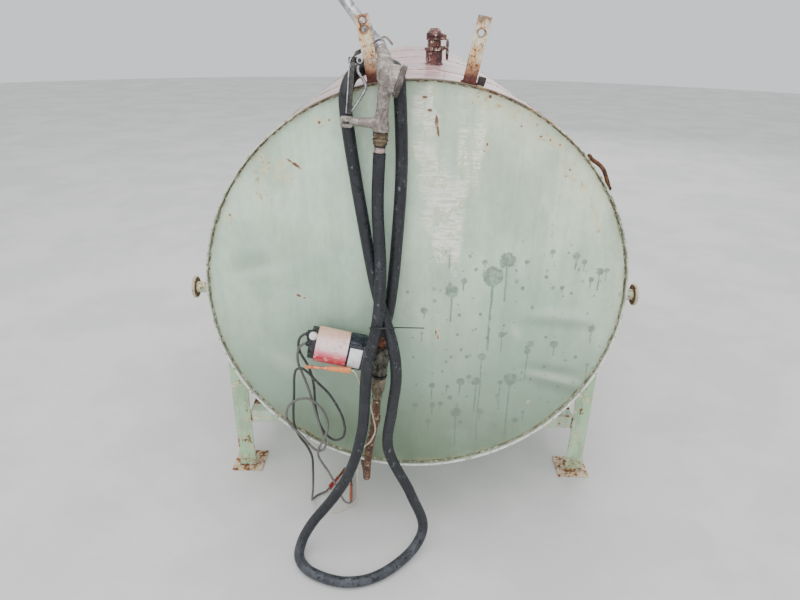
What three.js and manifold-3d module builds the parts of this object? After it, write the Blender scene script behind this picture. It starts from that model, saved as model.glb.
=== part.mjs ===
// Horizontal diesel tank on a four-legged welded stand, with a 12 V transfer pump,
// a delivery hose and a nozzle hooked over a lifting lug.
// Millimetres, +Z up. X runs across the tank, Y from the front head to the rear head.
// Every place below is measured from the front rim, the tank's middle line and the ground.
import * as THREE from "three";
import { mergeVertices } from "three/addons/utils/BufferGeometryUtils.js";
import Module from "manifold-3d";

// Driving dimensions
const tankRadius = 550;
const tankLength = 2000;
const axisHeight = 790;
const wall = 4;
const headInset = 14;
const frontReach = 103;
const seat = 0.3;

const legWidth = 55;
const legThickness = 5;
const legSetback = 265;
const legTop = 860;
const footSize = 106;
const footThickness = 6;
const barHeight = 45;
const railWidth = 40;

const lugWidth = 30;
const lugLength = 140;
const lugThickness = 6;
const lugAngle = 11.2;

const pegRadius = 17;
const pegDisc = 34;
const pegReach = 690;
const pegHeight = 688;

const hoseRadius = 15;
const leadRadius = 3.5;
const shellSides = 96;

// Materials
function finish(color, roughness, metalness) {
  return new THREE.MeshStandardMaterial({ color, roughness, metalness });
}

const sagePaint = finish(0xb6c2b4, 0.55, 0.1);
const wetPaint = finish(0xd8cfd4, 0.35, 0.1);
const mintPaint = finish(0xa6c8aa, 0.6, 0.1);
const rust = finish(0x7a4a2c, 0.9, 0.2);
const rustyCream = finish(0xc98f5a, 0.8, 0.2);
const darkRust = finish(0x5a2a22, 0.85, 0.3);
const castAluminium = finish(0x8d857e, 0.6, 0.6);
const spoutAluminium = finish(0xc9cbd0, 0.35, 0.9);
const steelRod = finish(0xa6a6a4, 0.4, 0.8);
const blackPlastic = finish(0x1c1e20, 0.5, 0);
const blackRubber = finish(0x2b303b, 0.65, 0);
const motorWrap = finish(0xe3b0a6, 0.5, 0);
const bronze = finish(0x7d6a52, 0.5, 0.7);
const copper = finish(0xd9824e, 0.5, 0.7);
const redPlastic = finish(0xb03238, 0.5, 0);
const greyCable = finish(0x77756f, 0.6, 0);
const whiteCable = finish(0xe4dccb, 0.5, 0);

// Everything hangs in one group, whose origin is on the ground in the middle of the object
const tank = new THREE.Group();
tank.position.y = -(tankLength - frontReach) / 2;

function add(name, geometry, material, parent = tank) {
  const mesh = new THREE.Mesh(geometry, material);
  mesh.name = name;
  parent.add(mesh);
  return mesh;
}

// Shape helpers
const wasm = await Module();
wasm.setup();

function toManifold(geometry) {
  const plain = geometry.clone();
  plain.deleteAttribute("normal");
  plain.deleteAttribute("uv");
  const merged = mergeVertices(plain, 0.001);
  const vertProperties = new Float32Array(merged.attributes.position.array);
  const triVerts = new Uint32Array(merged.index.array);
  return new wasm.Manifold(new wasm.Mesh({ numProp: 3, vertProperties, triVerts }));
}

function toGeometry(manifold) {
  const mesh = manifold.getMesh();
  const geometry = new THREE.BufferGeometry();
  geometry.setAttribute("position", new THREE.BufferAttribute(new Float32Array(mesh.vertProperties), 3));
  geometry.setIndex(Array.from(mesh.triVerts));
  geometry.computeVertexNormals();
  return geometry;
}

function fuse(...geometries) {
  return toGeometry(geometries.map(toManifold).reduce((whole, piece) => whole.add(piece)));
}

function vec(point) {
  return new THREE.Vector3(...point);
}

// A round bar, cone or disc from one point to another
function bar(from, to, radius, endRadius = radius, sides = 20) {
  const start = vec(from);
  const span = vec(to).sub(start);
  const geometry = new THREE.CylinderGeometry(endRadius, radius, span.length(), sides);
  geometry.translate(0, span.length() / 2, 0);
  const up = new THREE.Vector3(0, 1, 0);
  geometry.applyQuaternion(new THREE.Quaternion().setFromUnitVectors(up, span.clone().normalize()));
  geometry.translate(start.x, start.y, start.z);
  return geometry;
}

// A box between two opposite corners
function block(a, b) {
  const size = vec(a).sub(vec(b));
  const middle = vec(a).add(vec(b)).multiplyScalar(0.5);
  const box = new THREE.BoxGeometry(Math.abs(size.x), Math.abs(size.y), Math.abs(size.z));
  return box.translate(middle.x, middle.y, middle.z);
}

function extrude(shape, depth) {
  return new THREE.ExtrudeGeometry(shape, { depth, bevelEnabled: false, curveSegments: 10 });
}

function outline(points) {
  return new THREE.Shape(points.map(([x, y]) => new THREE.Vector2(x, y)));
}

function rectangle(width, height) {
  const x = width / 2;
  const y = height / 2;
  return outline([[-x, -y], [x, -y], [x, y], [-x, y]]);
}

function punch(shape, x, y, radius) {
  shape.holes.push(new THREE.Path().absarc(x, y, radius, 0, 2 * Math.PI, true));
}

// An angle iron's section, its two flanges pointing along the signs given
function angleSection(size, thickness, signX, signY) {
  const corners = [[0, 0], [size, 0], [size, thickness], [thickness, thickness], [thickness, size], [0, size]];
  return outline(corners.map(([x, y]) => [signX * x, signY * y]));
}

function circle(radius, sides) {
  const turns = Array.from({ length: sides }, (_, i) => (2 * Math.PI * i) / sides);
  return outline(turns.map((turn) => [radius * Math.cos(turn), radius * Math.sin(turn)]));
}

// A section swept along a smooth curve through the points
function sweep(points, section, steps) {
  const path = new THREE.CatmullRomCurve3(points.map(vec), false, "centripetal");
  // The steps follow the points, which lie closer together in the bends
  path.getSpacedPoints = path.getPoints;
  path.getTangentAt = path.getTangent;
  return new THREE.ExtrudeGeometry(section, { steps, extrudePath: path, bevelEnabled: false });
}

// A point at an angle from the tank's top, at a distance from its axis
function around(degrees, radius, y) {
  const turn = THREE.MathUtils.degToRad(degrees);
  return [radius * Math.sin(turn), y, axisHeight + radius * Math.cos(turn)];
}

const ends = [
  ["front", 0, 1],
  ["rear", tankLength, -1],
];
const sides = [
  ["left", -1],
  ["right", 1],
];

// Tank: shell and flat heads set inside its two lips
function makeTank() {
  const inner = tankRadius - wall;
  const profile = [[inner, 0], [tankRadius, 0], [tankRadius, tankLength], [inner, tankLength], [inner, 0]];
  const points = profile.map(([x, y]) => new THREE.Vector2(x, y));
  const shell = add("shell", new THREE.LatheGeometry(points, shellSides), wetPaint);
  shell.position.z = axisHeight;
  const headRadius = inner - seat;
  for (const [end, y, inward] of ends) {
    const disc = new THREE.CylinderGeometry(headRadius, headRadius, wall, shellSides);
    const head = add(`${end}_head`, disc, sagePaint);
    head.position.set(0, y + inward * (headInset + wall / 2), axisHeight);
  }
}

// Stand: angle legs on foot plates, crossbars under the shell and rails between them
function makeStand() {
  const outer = tankRadius + seat + legWidth;
  const barTop = axisHeight - tankRadius - seat;
  for (const [end, rim, inward] of ends) {
    const face = rim + inward * legSetback;
    for (const [side, sign] of sides) {
      const section = angleSection(legWidth, legThickness, -sign, inward);
      const leg = add(`leg_${end}_${side}`, extrude(section, legTop - footThickness - seat), mintPaint);
      leg.position.set(sign * outer, face, footThickness + seat);

      const plate = rectangle(footSize, footSize);
      punch(plate, -sign * 40, -inward * 8, 7);
      const foot = add(`foot_plate_${end}_${side}`, extrude(plate, footThickness), rust);
      foot.position.set(sign * (outer - legWidth / 2), face + inward * 30, 0);

      const pegY = face + inward * 27;
      const root = [sign * (outer + seat), pegY, pegHeight];
      const disc = [sign * (pegReach - 8), pegY, pegHeight];
      const tip = [sign * pegReach, pegY, pegHeight];
      const peg = fuse(bar(root, disc, pegRadius), bar(disc, tip, pegDisc, pegDisc, 32));
      add(`peg_${end}_${side}`, peg, mintPaint);
    }
    const upright = block([-tankRadius, face, barTop - barHeight], [tankRadius, face + inward * 5, barTop]);
    const flange = block([-tankRadius, face, barTop - 5], [tankRadius, face + inward * barHeight, barTop]);
    add(`crossbar_${end}`, fuse(upright, flange), mintPaint);
  }
  const start = legSetback + barHeight + seat;
  const stop = tankLength - start;
  for (const [side, sign] of sides) {
    const edge = sign * tankRadius;
    const web = block([edge, start, barTop - railWidth], [edge - sign * 4, stop, barTop]);
    const flat = block([edge, start, barTop - 4], [edge - sign * railWidth, stop, barTop]);
    add(`side_rail_${side}`, fuse(web, flat), rust);
  }
}

// Lifting lugs: flat bars standing on the shell, flush with the front rim
function makeLugs() {
  for (const [side, sign] of sides) {
    const shape = rectangle(lugWidth, lugLength);
    if (side === "left") {
      punch(shape, 0, 58, 6.5);
      punch(shape, 0, 40, 6);
    } else {
      punch(shape, 0, 36, 7);
    }
    const plate = extrude(shape, lugThickness).rotateX(Math.PI / 2);
    const lug = add(`lug_front_${side}`, plate, rustyCream);
    const turn = sign * lugAngle;
    lug.position.set(...around(turn, tankRadius + seat + lugLength / 2, lugThickness));
    lug.rotation.y = THREE.MathUtils.degToRad(turn);
  }
}

// Fittings on the shell's top: capped fill pipe, square plug and a bent rod loop
function makeFittings() {
  const fill = [45, 510];
  const base = axisHeight + Math.sqrt(tankRadius ** 2 - fill[0] ** 2) + 1.5;
  const level = (height) => [fill[0], fill[1], base + height];
  add("fill_socket", bar(level(0), level(36), 25, 25, 32), darkRust);
  const capLayers = [
    bar(level(36 + seat), level(45), 29, 29, 32),
    bar(level(44), level(66), 18, 18, 32),
    bar(level(65), level(69), 24, 24, 32),
    bar(level(68), level(76), 20, 20, 32),
    bar(level(75), level(84), 23, 23, 32),
    bar(level(83), level(98), 22, 12, 32),
  ];
  add("fill_cap", fuse(...capLayers), darkRust);
  const loop = new THREE.TorusGeometry(21, 2.5, 8, 28).rotateX(Math.PI / 2).scale(0.42, 1, 1.25);
  add("fill_cap_ring", loop, darkRust).position.set(fill[0] + 39.2, fill[1], base + 40);

  const plugPlace = around(14.2, tankRadius + seat + 9.5, 26);
  const plug = add("square_plug", new THREE.BoxGeometry(17, 17, 19), blackPlastic);
  plug.position.set(...plugPlace);
  plug.rotation.y = THREE.MathUtils.degToRad(14.2);

  const rodPoints = [[47.4, 5.1], [48.6, 6], [50.4, 11.5], [52.4, 14], [54.6, 10.5], [57.4, 5.1]];
  const route = rodPoints.map(([angle, height]) => around(angle, tankRadius + height, 30));
  add("rod_loop", sweep(route, circle(5, 10), 20), rust);
}

// Pump: motor on a tilted axis, its head at the right end and the suction pipe to the drain
const pumpMiddle = [-220.5, -38, 669.5];
const pumpTilt = 12.5;
const stackTop = [-86.5, -38, 705];
const stackFoot = [-101, -38, 508];

function alongPump(distance) {
  const turn = THREE.MathUtils.degToRad(pumpTilt);
  const [x, y, z] = pumpMiddle;
  return [x + distance * Math.cos(turn), y, z - distance * Math.sin(turn)];
}

function downStack(height) {
  const share = (stackTop[2] - height) / (stackTop[2] - stackFoot[2]);
  return [stackTop[0] + share * (stackFoot[0] - stackTop[0]), stackTop[1], height];
}

function makePump() {
  add("pump_motor", bar(alongPump(-41), alongPump(88), 47.5, 47.5, 40), motorWrap);
  const dome = bar(alongPump(-60), alongPump(-41 - seat), 34, 42, 32);
  const terminals = block([-284, -50, 672], [-266, -26, 712]);
  add("pump_end_cover", fuse(dome, terminals), blackPlastic);
  const casting = [
    bar(alongPump(88 + seat), alongPump(104), 42, 42, 32),
    bar(alongPump(103), alongPump(134), 30, 24, 24),
    bar(downStack(586), downStack(672), 20, 26, 28),
  ];
  add("pump_head", fuse(...casting), bronze);
  add("outlet_nipple", bar(downStack(672 + seat), downStack(705), 12, 12, 6), rust);
  add("seal_ring", bar(downStack(578), downStack(586 - seat), 22, 22, 28), blackRubber);
  const hexagon = bar(downStack(552), downStack(578 - seat), 21, 21, 6);
  const cone = bar(downStack(508), downStack(553), 13, 19, 24);
  add("hex_reducer", fuse(hexagon, cone), bronze);

  const drain = (radius) => around(193.9, radius, 120);
  add("drain_socket", bar(drain(tankRadius + seat - 0.1), drain(576), 20, 20, 8), rust);
  const pipe = [
    downStack(508 - seat),
    downStack(490),
    downStack(430),
    [-125, -38, 330],
    [-131, -36, 255],
    [-134, -20, 214],
    [-138, 25, 196],
    [-148, 75, 190],
    drain(620),
    drain(595),
    drain(576 + seat),
  ];
  add("suction_pipe", sweep(pipe, circle(11, 12), 40), rust);
}

// Nozzle, hooked over the left lug: swivel below, body in front of the rim, spout behind the lug
const leverPivot = [-137.5, -15, 1375];
const leverLean = THREE.MathUtils.degToRad(11.5);
const leverAxis = new THREE.Vector3(0, -Math.cos(leverLean), Math.sin(leverLean));

// A flat strip through the points, its width along the tank
function strap(points, width, thickness) {
  const pieces = points.slice(1).map((point, i) => {
    const start = vec(points[i]);
    const span = vec(point).sub(start);
    const along = span.clone().normalize();
    const across = new THREE.Vector3(1, 0, 0).cross(along).normalize();
    const normal = along.clone().cross(across);
    const box = new THREE.BoxGeometry(span.length() + thickness, width, thickness);
    const place = new THREE.Matrix4().makeBasis(along, across, normal);
    place.setPosition(start.addScaledVector(span, 0.5));
    return box.applyMatrix4(place);
  });
  return fuse(...pieces);
}

function besideLever(distance) {
  return vec(leverPivot).addScaledVector(leverAxis, distance).toArray();
}

// A point on the axis shared by the grip, the swivel and the hose's end
function grip(height) {
  const drop = 1227 - height;
  return [-89.8 - drop / 16, -43 + drop / 48, height];
}

function makeNozzle() {
  const cap = [-47.6, -68, 1337.4];
  const facing = new THREE.Vector3(0.94, 0, -0.34).normalize();
  const beside = (distance) => vec(cap).addScaledVector(facing, distance).toArray();
  const body = [
    bar(beside(-42), beside(-6), 26, 32, 32),
    bar([-76, -66, 1345], [-84, -2, 1385], 22, 15, 24),
    bar([-82.5, -6, 1383], [-92, 18, 1397], 14.5, 13.5, 24),
    bar([-80, -62, 1330], grip(1266), 16, 14, 20),
    bar(grip(1267), grip(1227 + seat), 15, 19, 20),
    bar([-86, -46, 1246], [-158, -43, 1249], 11, 8, 12),
    block([-180, -52, 1236], [-154, -35.5, 1261]),
  ];
  add("nozzle_body", fuse(...body), castAluminium);
  add("nozzle_cap", bar(beside(-6 + seat), beside(6), 35, 35, 40), castAluminium);
  add("nozzle_swivel", bar(grip(1227), grip(1198), 18.5, 18.5, 6), bronze);
  add("hose_ferrule", bar(grip(1198 - seat), grip(1179.6), 13, 13, 16), steelRod);

  const spout = [
    bar([-92.1, 18.45, 1397.2], [-95.8, 28, 1402.8], 13.5, 15, 24),
    new THREE.SphereGeometry(17, 20, 12).translate(-100.5, 38, 1407.5),
    bar([-100.5, 38, 1407.5], [-152, 47, 1470], 17, 14, 24),
    bar([-151, 46.8, 1469], [-182, 55, 1506], 14, 13.5, 24),
    bar([-181, 54.7, 1505], [-222, 70, 1546], 13.5, 12.5, 24),
    sweep([[-98, 36, 1409], [-92, 35, 1418.5], [-85.5, 35, 1422], [-77, 35, 1418], [-66, 35, 1406]], circle(2.5, 8), 14),
  ];
  add("nozzle_spout", fuse(...spout), spoutAluminium);

  const strip = [
    [-167.1, -43, 1263.6],
    [-163, -38, 1310],
    [-160, -30, 1352],
    [-158, -20, 1374],
    [-148, -2, 1388],
    [-136, 14, 1394],
    [-123, 25.5, 1400],
  ];
  const bracket = [
    block([-162, -19, 1368], [-148, -7, 1382]),
    block([-150, -10, 1368], [-133.5, -7, 1382]),
    bar(besideLever(-5), besideLever(4.5), 2.6, 2.6, 16),
  ];
  add("nozzle_guard", fuse(strap(strip, 10, 3), ...bracket), blackPlastic);

  const rod = [
    [-157, -36.4, 1270],
    [-150, -34.8, 1278],
    [-124, -26.2, 1320],
    [-127, -23.5, 1333],
    [-141, -19.6, 1353],
    [-138, -15.6, 1372],
  ];
  const eye = bar(besideLever(-2.6), besideLever(2.6), 7, 7, 24);
  const hole = toManifold(bar(besideLever(-9), besideLever(9), 3.1, 3.1, 24));
  const lever = toManifold(fuse(sweep(rod, circle(3.5, 8), 24), eye)).subtract(hole);
  add("nozzle_lever", toGeometry(lever), steelRod);
}

// Delivery hose: from the nozzle down to a loop on the ground, up through the tie,
// over the lug and down again to the pump's outlet
const hoseRoute = [
  grip(1179.2),
  grip(1155),
  [-98, -31, 1050],
  [-90, -58, 880],
  [-97, -89, 768],
  [-122, -106, 650],
  [-140, -93, 432],
  [-178, -94, 290],
  [-222, -96, 205],
  [-295, -101, 98],
  [-323, -114, 43],
  [-327, -146, 21],
  [-296, -190, 16.5],
  [-190, -229, 15.8],
  [-95, -208, 16.5],
  [8, -124, 34],
  [37, -86, 80],
  [-2, -87, 212],
  [-68, -82, 370],
  [-58, -86, 505],
  [-48, -91, 605],
  [-55, -91, 690],
  [-74, -68, 752],
  [-98, -43, 822],
  [-130, -21, 985],
  [-171, -19.3, 1285],
  [-168, -17.3, 1314],
  [-156, 1, 1342],
  [-136, 23.5, 1354.5],
  [-108, 32, 1362],
  [-80, 25, 1362],
  [-59.5, 2, 1360],
  [-51.5, -15, 1345],
  [-48.5, -20, 1315],
  [-42, -18, 1150],
  [-49, -18, 988],
  [-62, -23, 830],
  [-75, -33.5, 750],
  downStack(722),
  downStack(705.6),
];

// Middles of the three bundled stretches where the tie's slanting plane crosses them
const bundle = [
  [-99, -91.5],
  [-70.5, -72],
  [-83, -37.3],
];
const tieSlope = 0.48;

// The line around the bundled hoses, at a distance from their middles
function bundleOutline(reach) {
  const turns = Array.from({ length: 48 }, (_, i) => (2 * Math.PI * i) / 48);
  const points = turns.map((turn) => {
    const ahead = ([x, y]) => x * Math.cos(turn) + y * Math.sin(turn);
    const [x, y] = bundle.reduce((best, middle) => (ahead(middle) > ahead(best) ? middle : best));
    return [x + reach * Math.cos(turn), y + reach * Math.sin(turn)];
  });
  return outline(points);
}

function makeHose() {
  add("hose", sweep(hoseRoute, circle(hoseRadius, 10), 78), blackRubber);
  const loop = bundleOutline(hoseRadius + 4);
  loop.holes.push(bundleOutline(hoseRadius + 2));
  const band = extrude(loop, 5).translate(0, 0, 707);
  const tail = block([-64, -40, 708.5], [24, -38.5, 711.5]);
  const slant = new THREE.Matrix4().set(1, 0, 0, 0, 0, 1, 0, 0, 0, -tieSlope, 1, 0, 0, 0, 0, 1);
  add("hose_tie", fuse(band, tail).applyMatrix4(slant), blackPlastic);
}

// Battery leads: two looped cables and a thin wire, with their clamps
const blackRoute = [
  [-284.4, -34, 702],
  [-291, -34, 702],
  [-304, -36.5, 692],
  [-309, -41, 674],
  [-304, -44, 650],
  [-291, -44, 622],
  [-281, -40, 590],
  [-276, -30, 540],
  [-275, -24, 460],
  [-266, -24, 405],
  [-248, -24, 368],
  [-224, -24, 350],
  [-202, -24, 360],
  [-195, -24, 385],
  [-199, -24, 425],
  [-210, -26, 460],
  [-234, -34, 515],
  [-260, -52, 562],
  [-277, -68, 598],
  [-286, -79, 616.5],
  [-296.5, -85, 628],
  [-309.5, -83.5, 623],
  [-316, -76, 607],
  [-321, -66, 586],
  [-327, -48, 545],
  [-331, -38, 510],
  [-338, -30, 450],
  [-338, -28, 402],
  [-325, -30, 365],
  [-305, -34, 335],
  [-292, -36, 300],
  [-293, -26, 240],
  [-303, 10, 140],
  [-318, 60, 45],
  [-323, 92, 14],
  [-314, 118, 5.5],
  [-297, 132, 5.5],
  [-283, 136, 10],
  [-276.8, 143.6, 13],
  [-273.4, 151, 13],
];

const greyRoute = [
  [-284.4, -46, 680],
  [-291, -46, 680],
  [-304, -49, 672],
  [-310, -53, 654],
  [-310, -54, 625],
  [-304, -50, 598],
  [-297, -42, 565],
  [-288.6, -38, 529.5],
  [-275, -38, 463.5],
  [-262, -38, 400],
  [-252, -38, 368],
  [-249, -39.5, 345],
  [-257, -41, 328],
  [-273, -43, 326],
  [-289, -44.5, 340],
  [-304, -45.5, 362],
  [-321, -46, 387],
  [-343, -46, 413],
  [-355, -46, 447],
  [-346, -47, 481],
  [-321, -47, 503],
  [-289, -48, 507],
  [-261, -48, 484],
  [-243, -48, 448],
  [-240, -49, 410],
  [-250, -51, 378],
  [-264, -53, 350],
  [-271, -52, 322],
  [-265, -44, 290],
  [-250, -26, 240],
  [-228, 20, 130],
  [-212, 54, 46],
  [-200, 74, 19],
  [-195.3, 86, 13],
  [-195.9, 95, 13],
];

const whiteRoute = [
  [-165.5, -86, 624],
  [-159, -86.5, 622.5],
  [-150, -87, 606],
  [-140, -76, 565],
  [-121, -70, 515],
  [-110, -66, 460],
  [-105, -63, 416],
  [-120, -60, 375],
  [-140, -50, 345],
  [-153, -38, 300],
  [-161, -18, 240],
  [-166, 30, 135],
  [-173, 70, 40],
  [-192, 78, 6],
  [-222, 55, 4],
  [-256, 45, 4],
];

// A spring clamp: two handles that cross between its tail and its jaws
function clamp(jaws, tail) {
  const lift = new THREE.Vector3(0, 0, 6);
  const high = vec(tail).add(lift).toArray();
  const low = vec(tail).sub(lift).toArray();
  const jawHigh = vec(jaws).add(lift).toArray();
  const jawLow = vec(jaws).sub(lift).toArray();
  return fuse(bar(high, jawLow, 5.5, 4, 10), bar(low, jawHigh, 5.5, 4, 10));
}

function makeLeads() {
  add("lead_black", sweep(blackRoute, circle(leadRadius, 8), 80), blackRubber);
  add("lead_grey", sweep(greyRoute, circle(leadRadius, 8), 90), greyCable);
  add("wire_white", sweep(whiteRoute, circle(2, 8), 60), whiteCable);
  add("clamp_orange", clamp([-287.1, -86, 634], [-167, -86, 624.5]), copper);
  add("clamp_copper", clamp([-206, 226, 13], [-196, 96, 13]), copper);
  add("clamp_red", clamp([-231, 244, 13], [-273, 152, 13]), redPlastic);
}

makeTank();
makeStand();
makeLugs();
makeFittings();
makePump();
makeNozzle();
makeHose();
makeLeads();

export default tank;
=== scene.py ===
"""Looks of a used diesel tank on legs, with its pump, hose and nozzle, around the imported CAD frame.

Places are given in millimetres, as x across, y back from the front rim and z up from the ground,
and at() turns them into the frame's metres.
"""

import math
from statistics import NormalDist

import bmesh
import bpy
from mathutils import Matrix, Vector, noise


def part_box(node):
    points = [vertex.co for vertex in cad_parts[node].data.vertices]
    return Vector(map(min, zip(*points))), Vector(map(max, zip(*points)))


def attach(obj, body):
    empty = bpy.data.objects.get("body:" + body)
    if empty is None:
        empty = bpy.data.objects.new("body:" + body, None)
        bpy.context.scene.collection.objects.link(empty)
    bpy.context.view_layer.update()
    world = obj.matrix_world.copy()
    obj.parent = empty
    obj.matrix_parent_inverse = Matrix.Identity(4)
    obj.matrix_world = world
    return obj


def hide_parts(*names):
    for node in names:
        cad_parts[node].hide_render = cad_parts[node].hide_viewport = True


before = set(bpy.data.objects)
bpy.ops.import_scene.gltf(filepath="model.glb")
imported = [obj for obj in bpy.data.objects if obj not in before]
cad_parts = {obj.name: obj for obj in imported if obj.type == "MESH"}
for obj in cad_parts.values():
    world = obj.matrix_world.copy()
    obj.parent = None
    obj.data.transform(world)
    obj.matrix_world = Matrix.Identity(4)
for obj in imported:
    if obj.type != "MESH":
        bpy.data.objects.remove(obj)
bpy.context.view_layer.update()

MM = 0.001
shell_low, shell_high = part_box("shell")
FRONT = shell_low.y
LENGTH = (shell_high.y - shell_low.y) / MM
RADIUS = (shell_high.x - shell_low.x) / 2 / MM
AXIS = (shell_high.z + shell_low.z) / 2 / MM
WALL = 4
HEAD_INSET = 14


def at(x, y, z):
    return Vector((x * MM, FRONT + y * MM, z * MM))


def around(degrees, radius, y):
    """A point at an angle from the tank's top, at a distance from its axis"""
    turn = math.radians(degrees)
    return at(radius * math.sin(turn), y, AXIS + radius * math.cos(turn))


# Camera at the photograph's viewing angle: its place, then how it is turned in degrees
CAMERA_PLACE = (-28.1, -1432.4, 1453.9)
CAMERA_PAN = 0.54
CAMERA_DOWN = 24.86
CAMERA_ROLL = 0.8
LENS = 27.05
# Soft studio light: name, place and power and size of each lamp, in metres and watts
WORLD_POWER = 0.95
LAMPS = [
    ("overhead", (-0.6, -1.4, 5.5), 210, 6),
    ("front_fill", (-1.2, -5.5, 3.6), 95, 4),
    ("rear_fill", (2.5, 5.5, 3.5), 80, 4),
]
LAMP_TARGET = Vector((0, 0, 0.8))


def make_camera():
    data = bpy.data.cameras.new("camera")
    data.lens = LENS
    data.sensor_width = 36
    data.clip_end = 60
    camera = bpy.data.objects.new("camera", data)
    bpy.context.scene.collection.objects.link(camera)
    yaw = Matrix.Rotation(math.radians(CAMERA_PAN), 4, "Z")
    pitch = Matrix.Rotation(math.radians(90 - CAMERA_DOWN), 4, "X")
    roll = Matrix.Rotation(math.radians(CAMERA_ROLL), 4, "Z")
    camera.matrix_world = Matrix.Translation(at(*CAMERA_PLACE)) @ yaw @ pitch @ roll
    bpy.context.scene.camera = camera


def make_light():
    world = bpy.data.worlds.new("studio")
    bpy.context.scene.world = world
    world.use_nodes = True
    background = world.node_tree.nodes["Background"]
    background.inputs["Color"].default_value = (0.95, 0.97, 1.0, 1)
    background.inputs["Strength"].default_value = WORLD_POWER
    for name, place, power, size in LAMPS:
        data = bpy.data.lights.new(name, "AREA")
        data.energy = power
        data.size = size
        lamp = bpy.data.objects.new(name, data)
        bpy.context.scene.collection.objects.link(lamp)
        lamp.location = place
        aim = LAMP_TARGET - lamp.location
        lamp.rotation_euler = aim.to_track_quat("-Z", "Y").to_euler()


# Materials
def srgb(red, green, blue):
    """An sRGB colour as the linear one that shaders take"""
    linear = []
    for value in (red, green, blue):
        share = value / 255
        linear.append(share / 12.92 if share <= 0.04045 else ((share + 0.055) / 1.055) ** 2.4)
    return (*linear, 1)


MINT = (172, 212, 170)
CREAM = (226, 216, 180)
OCHRE = (196, 160, 100)
ORANGE_RUST = (166, 98, 46)
BROWN_RUST = (96, 56, 34)
DARK_RUST = (58, 34, 28)
OFF_WHITE = (232, 230, 220)


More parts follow.
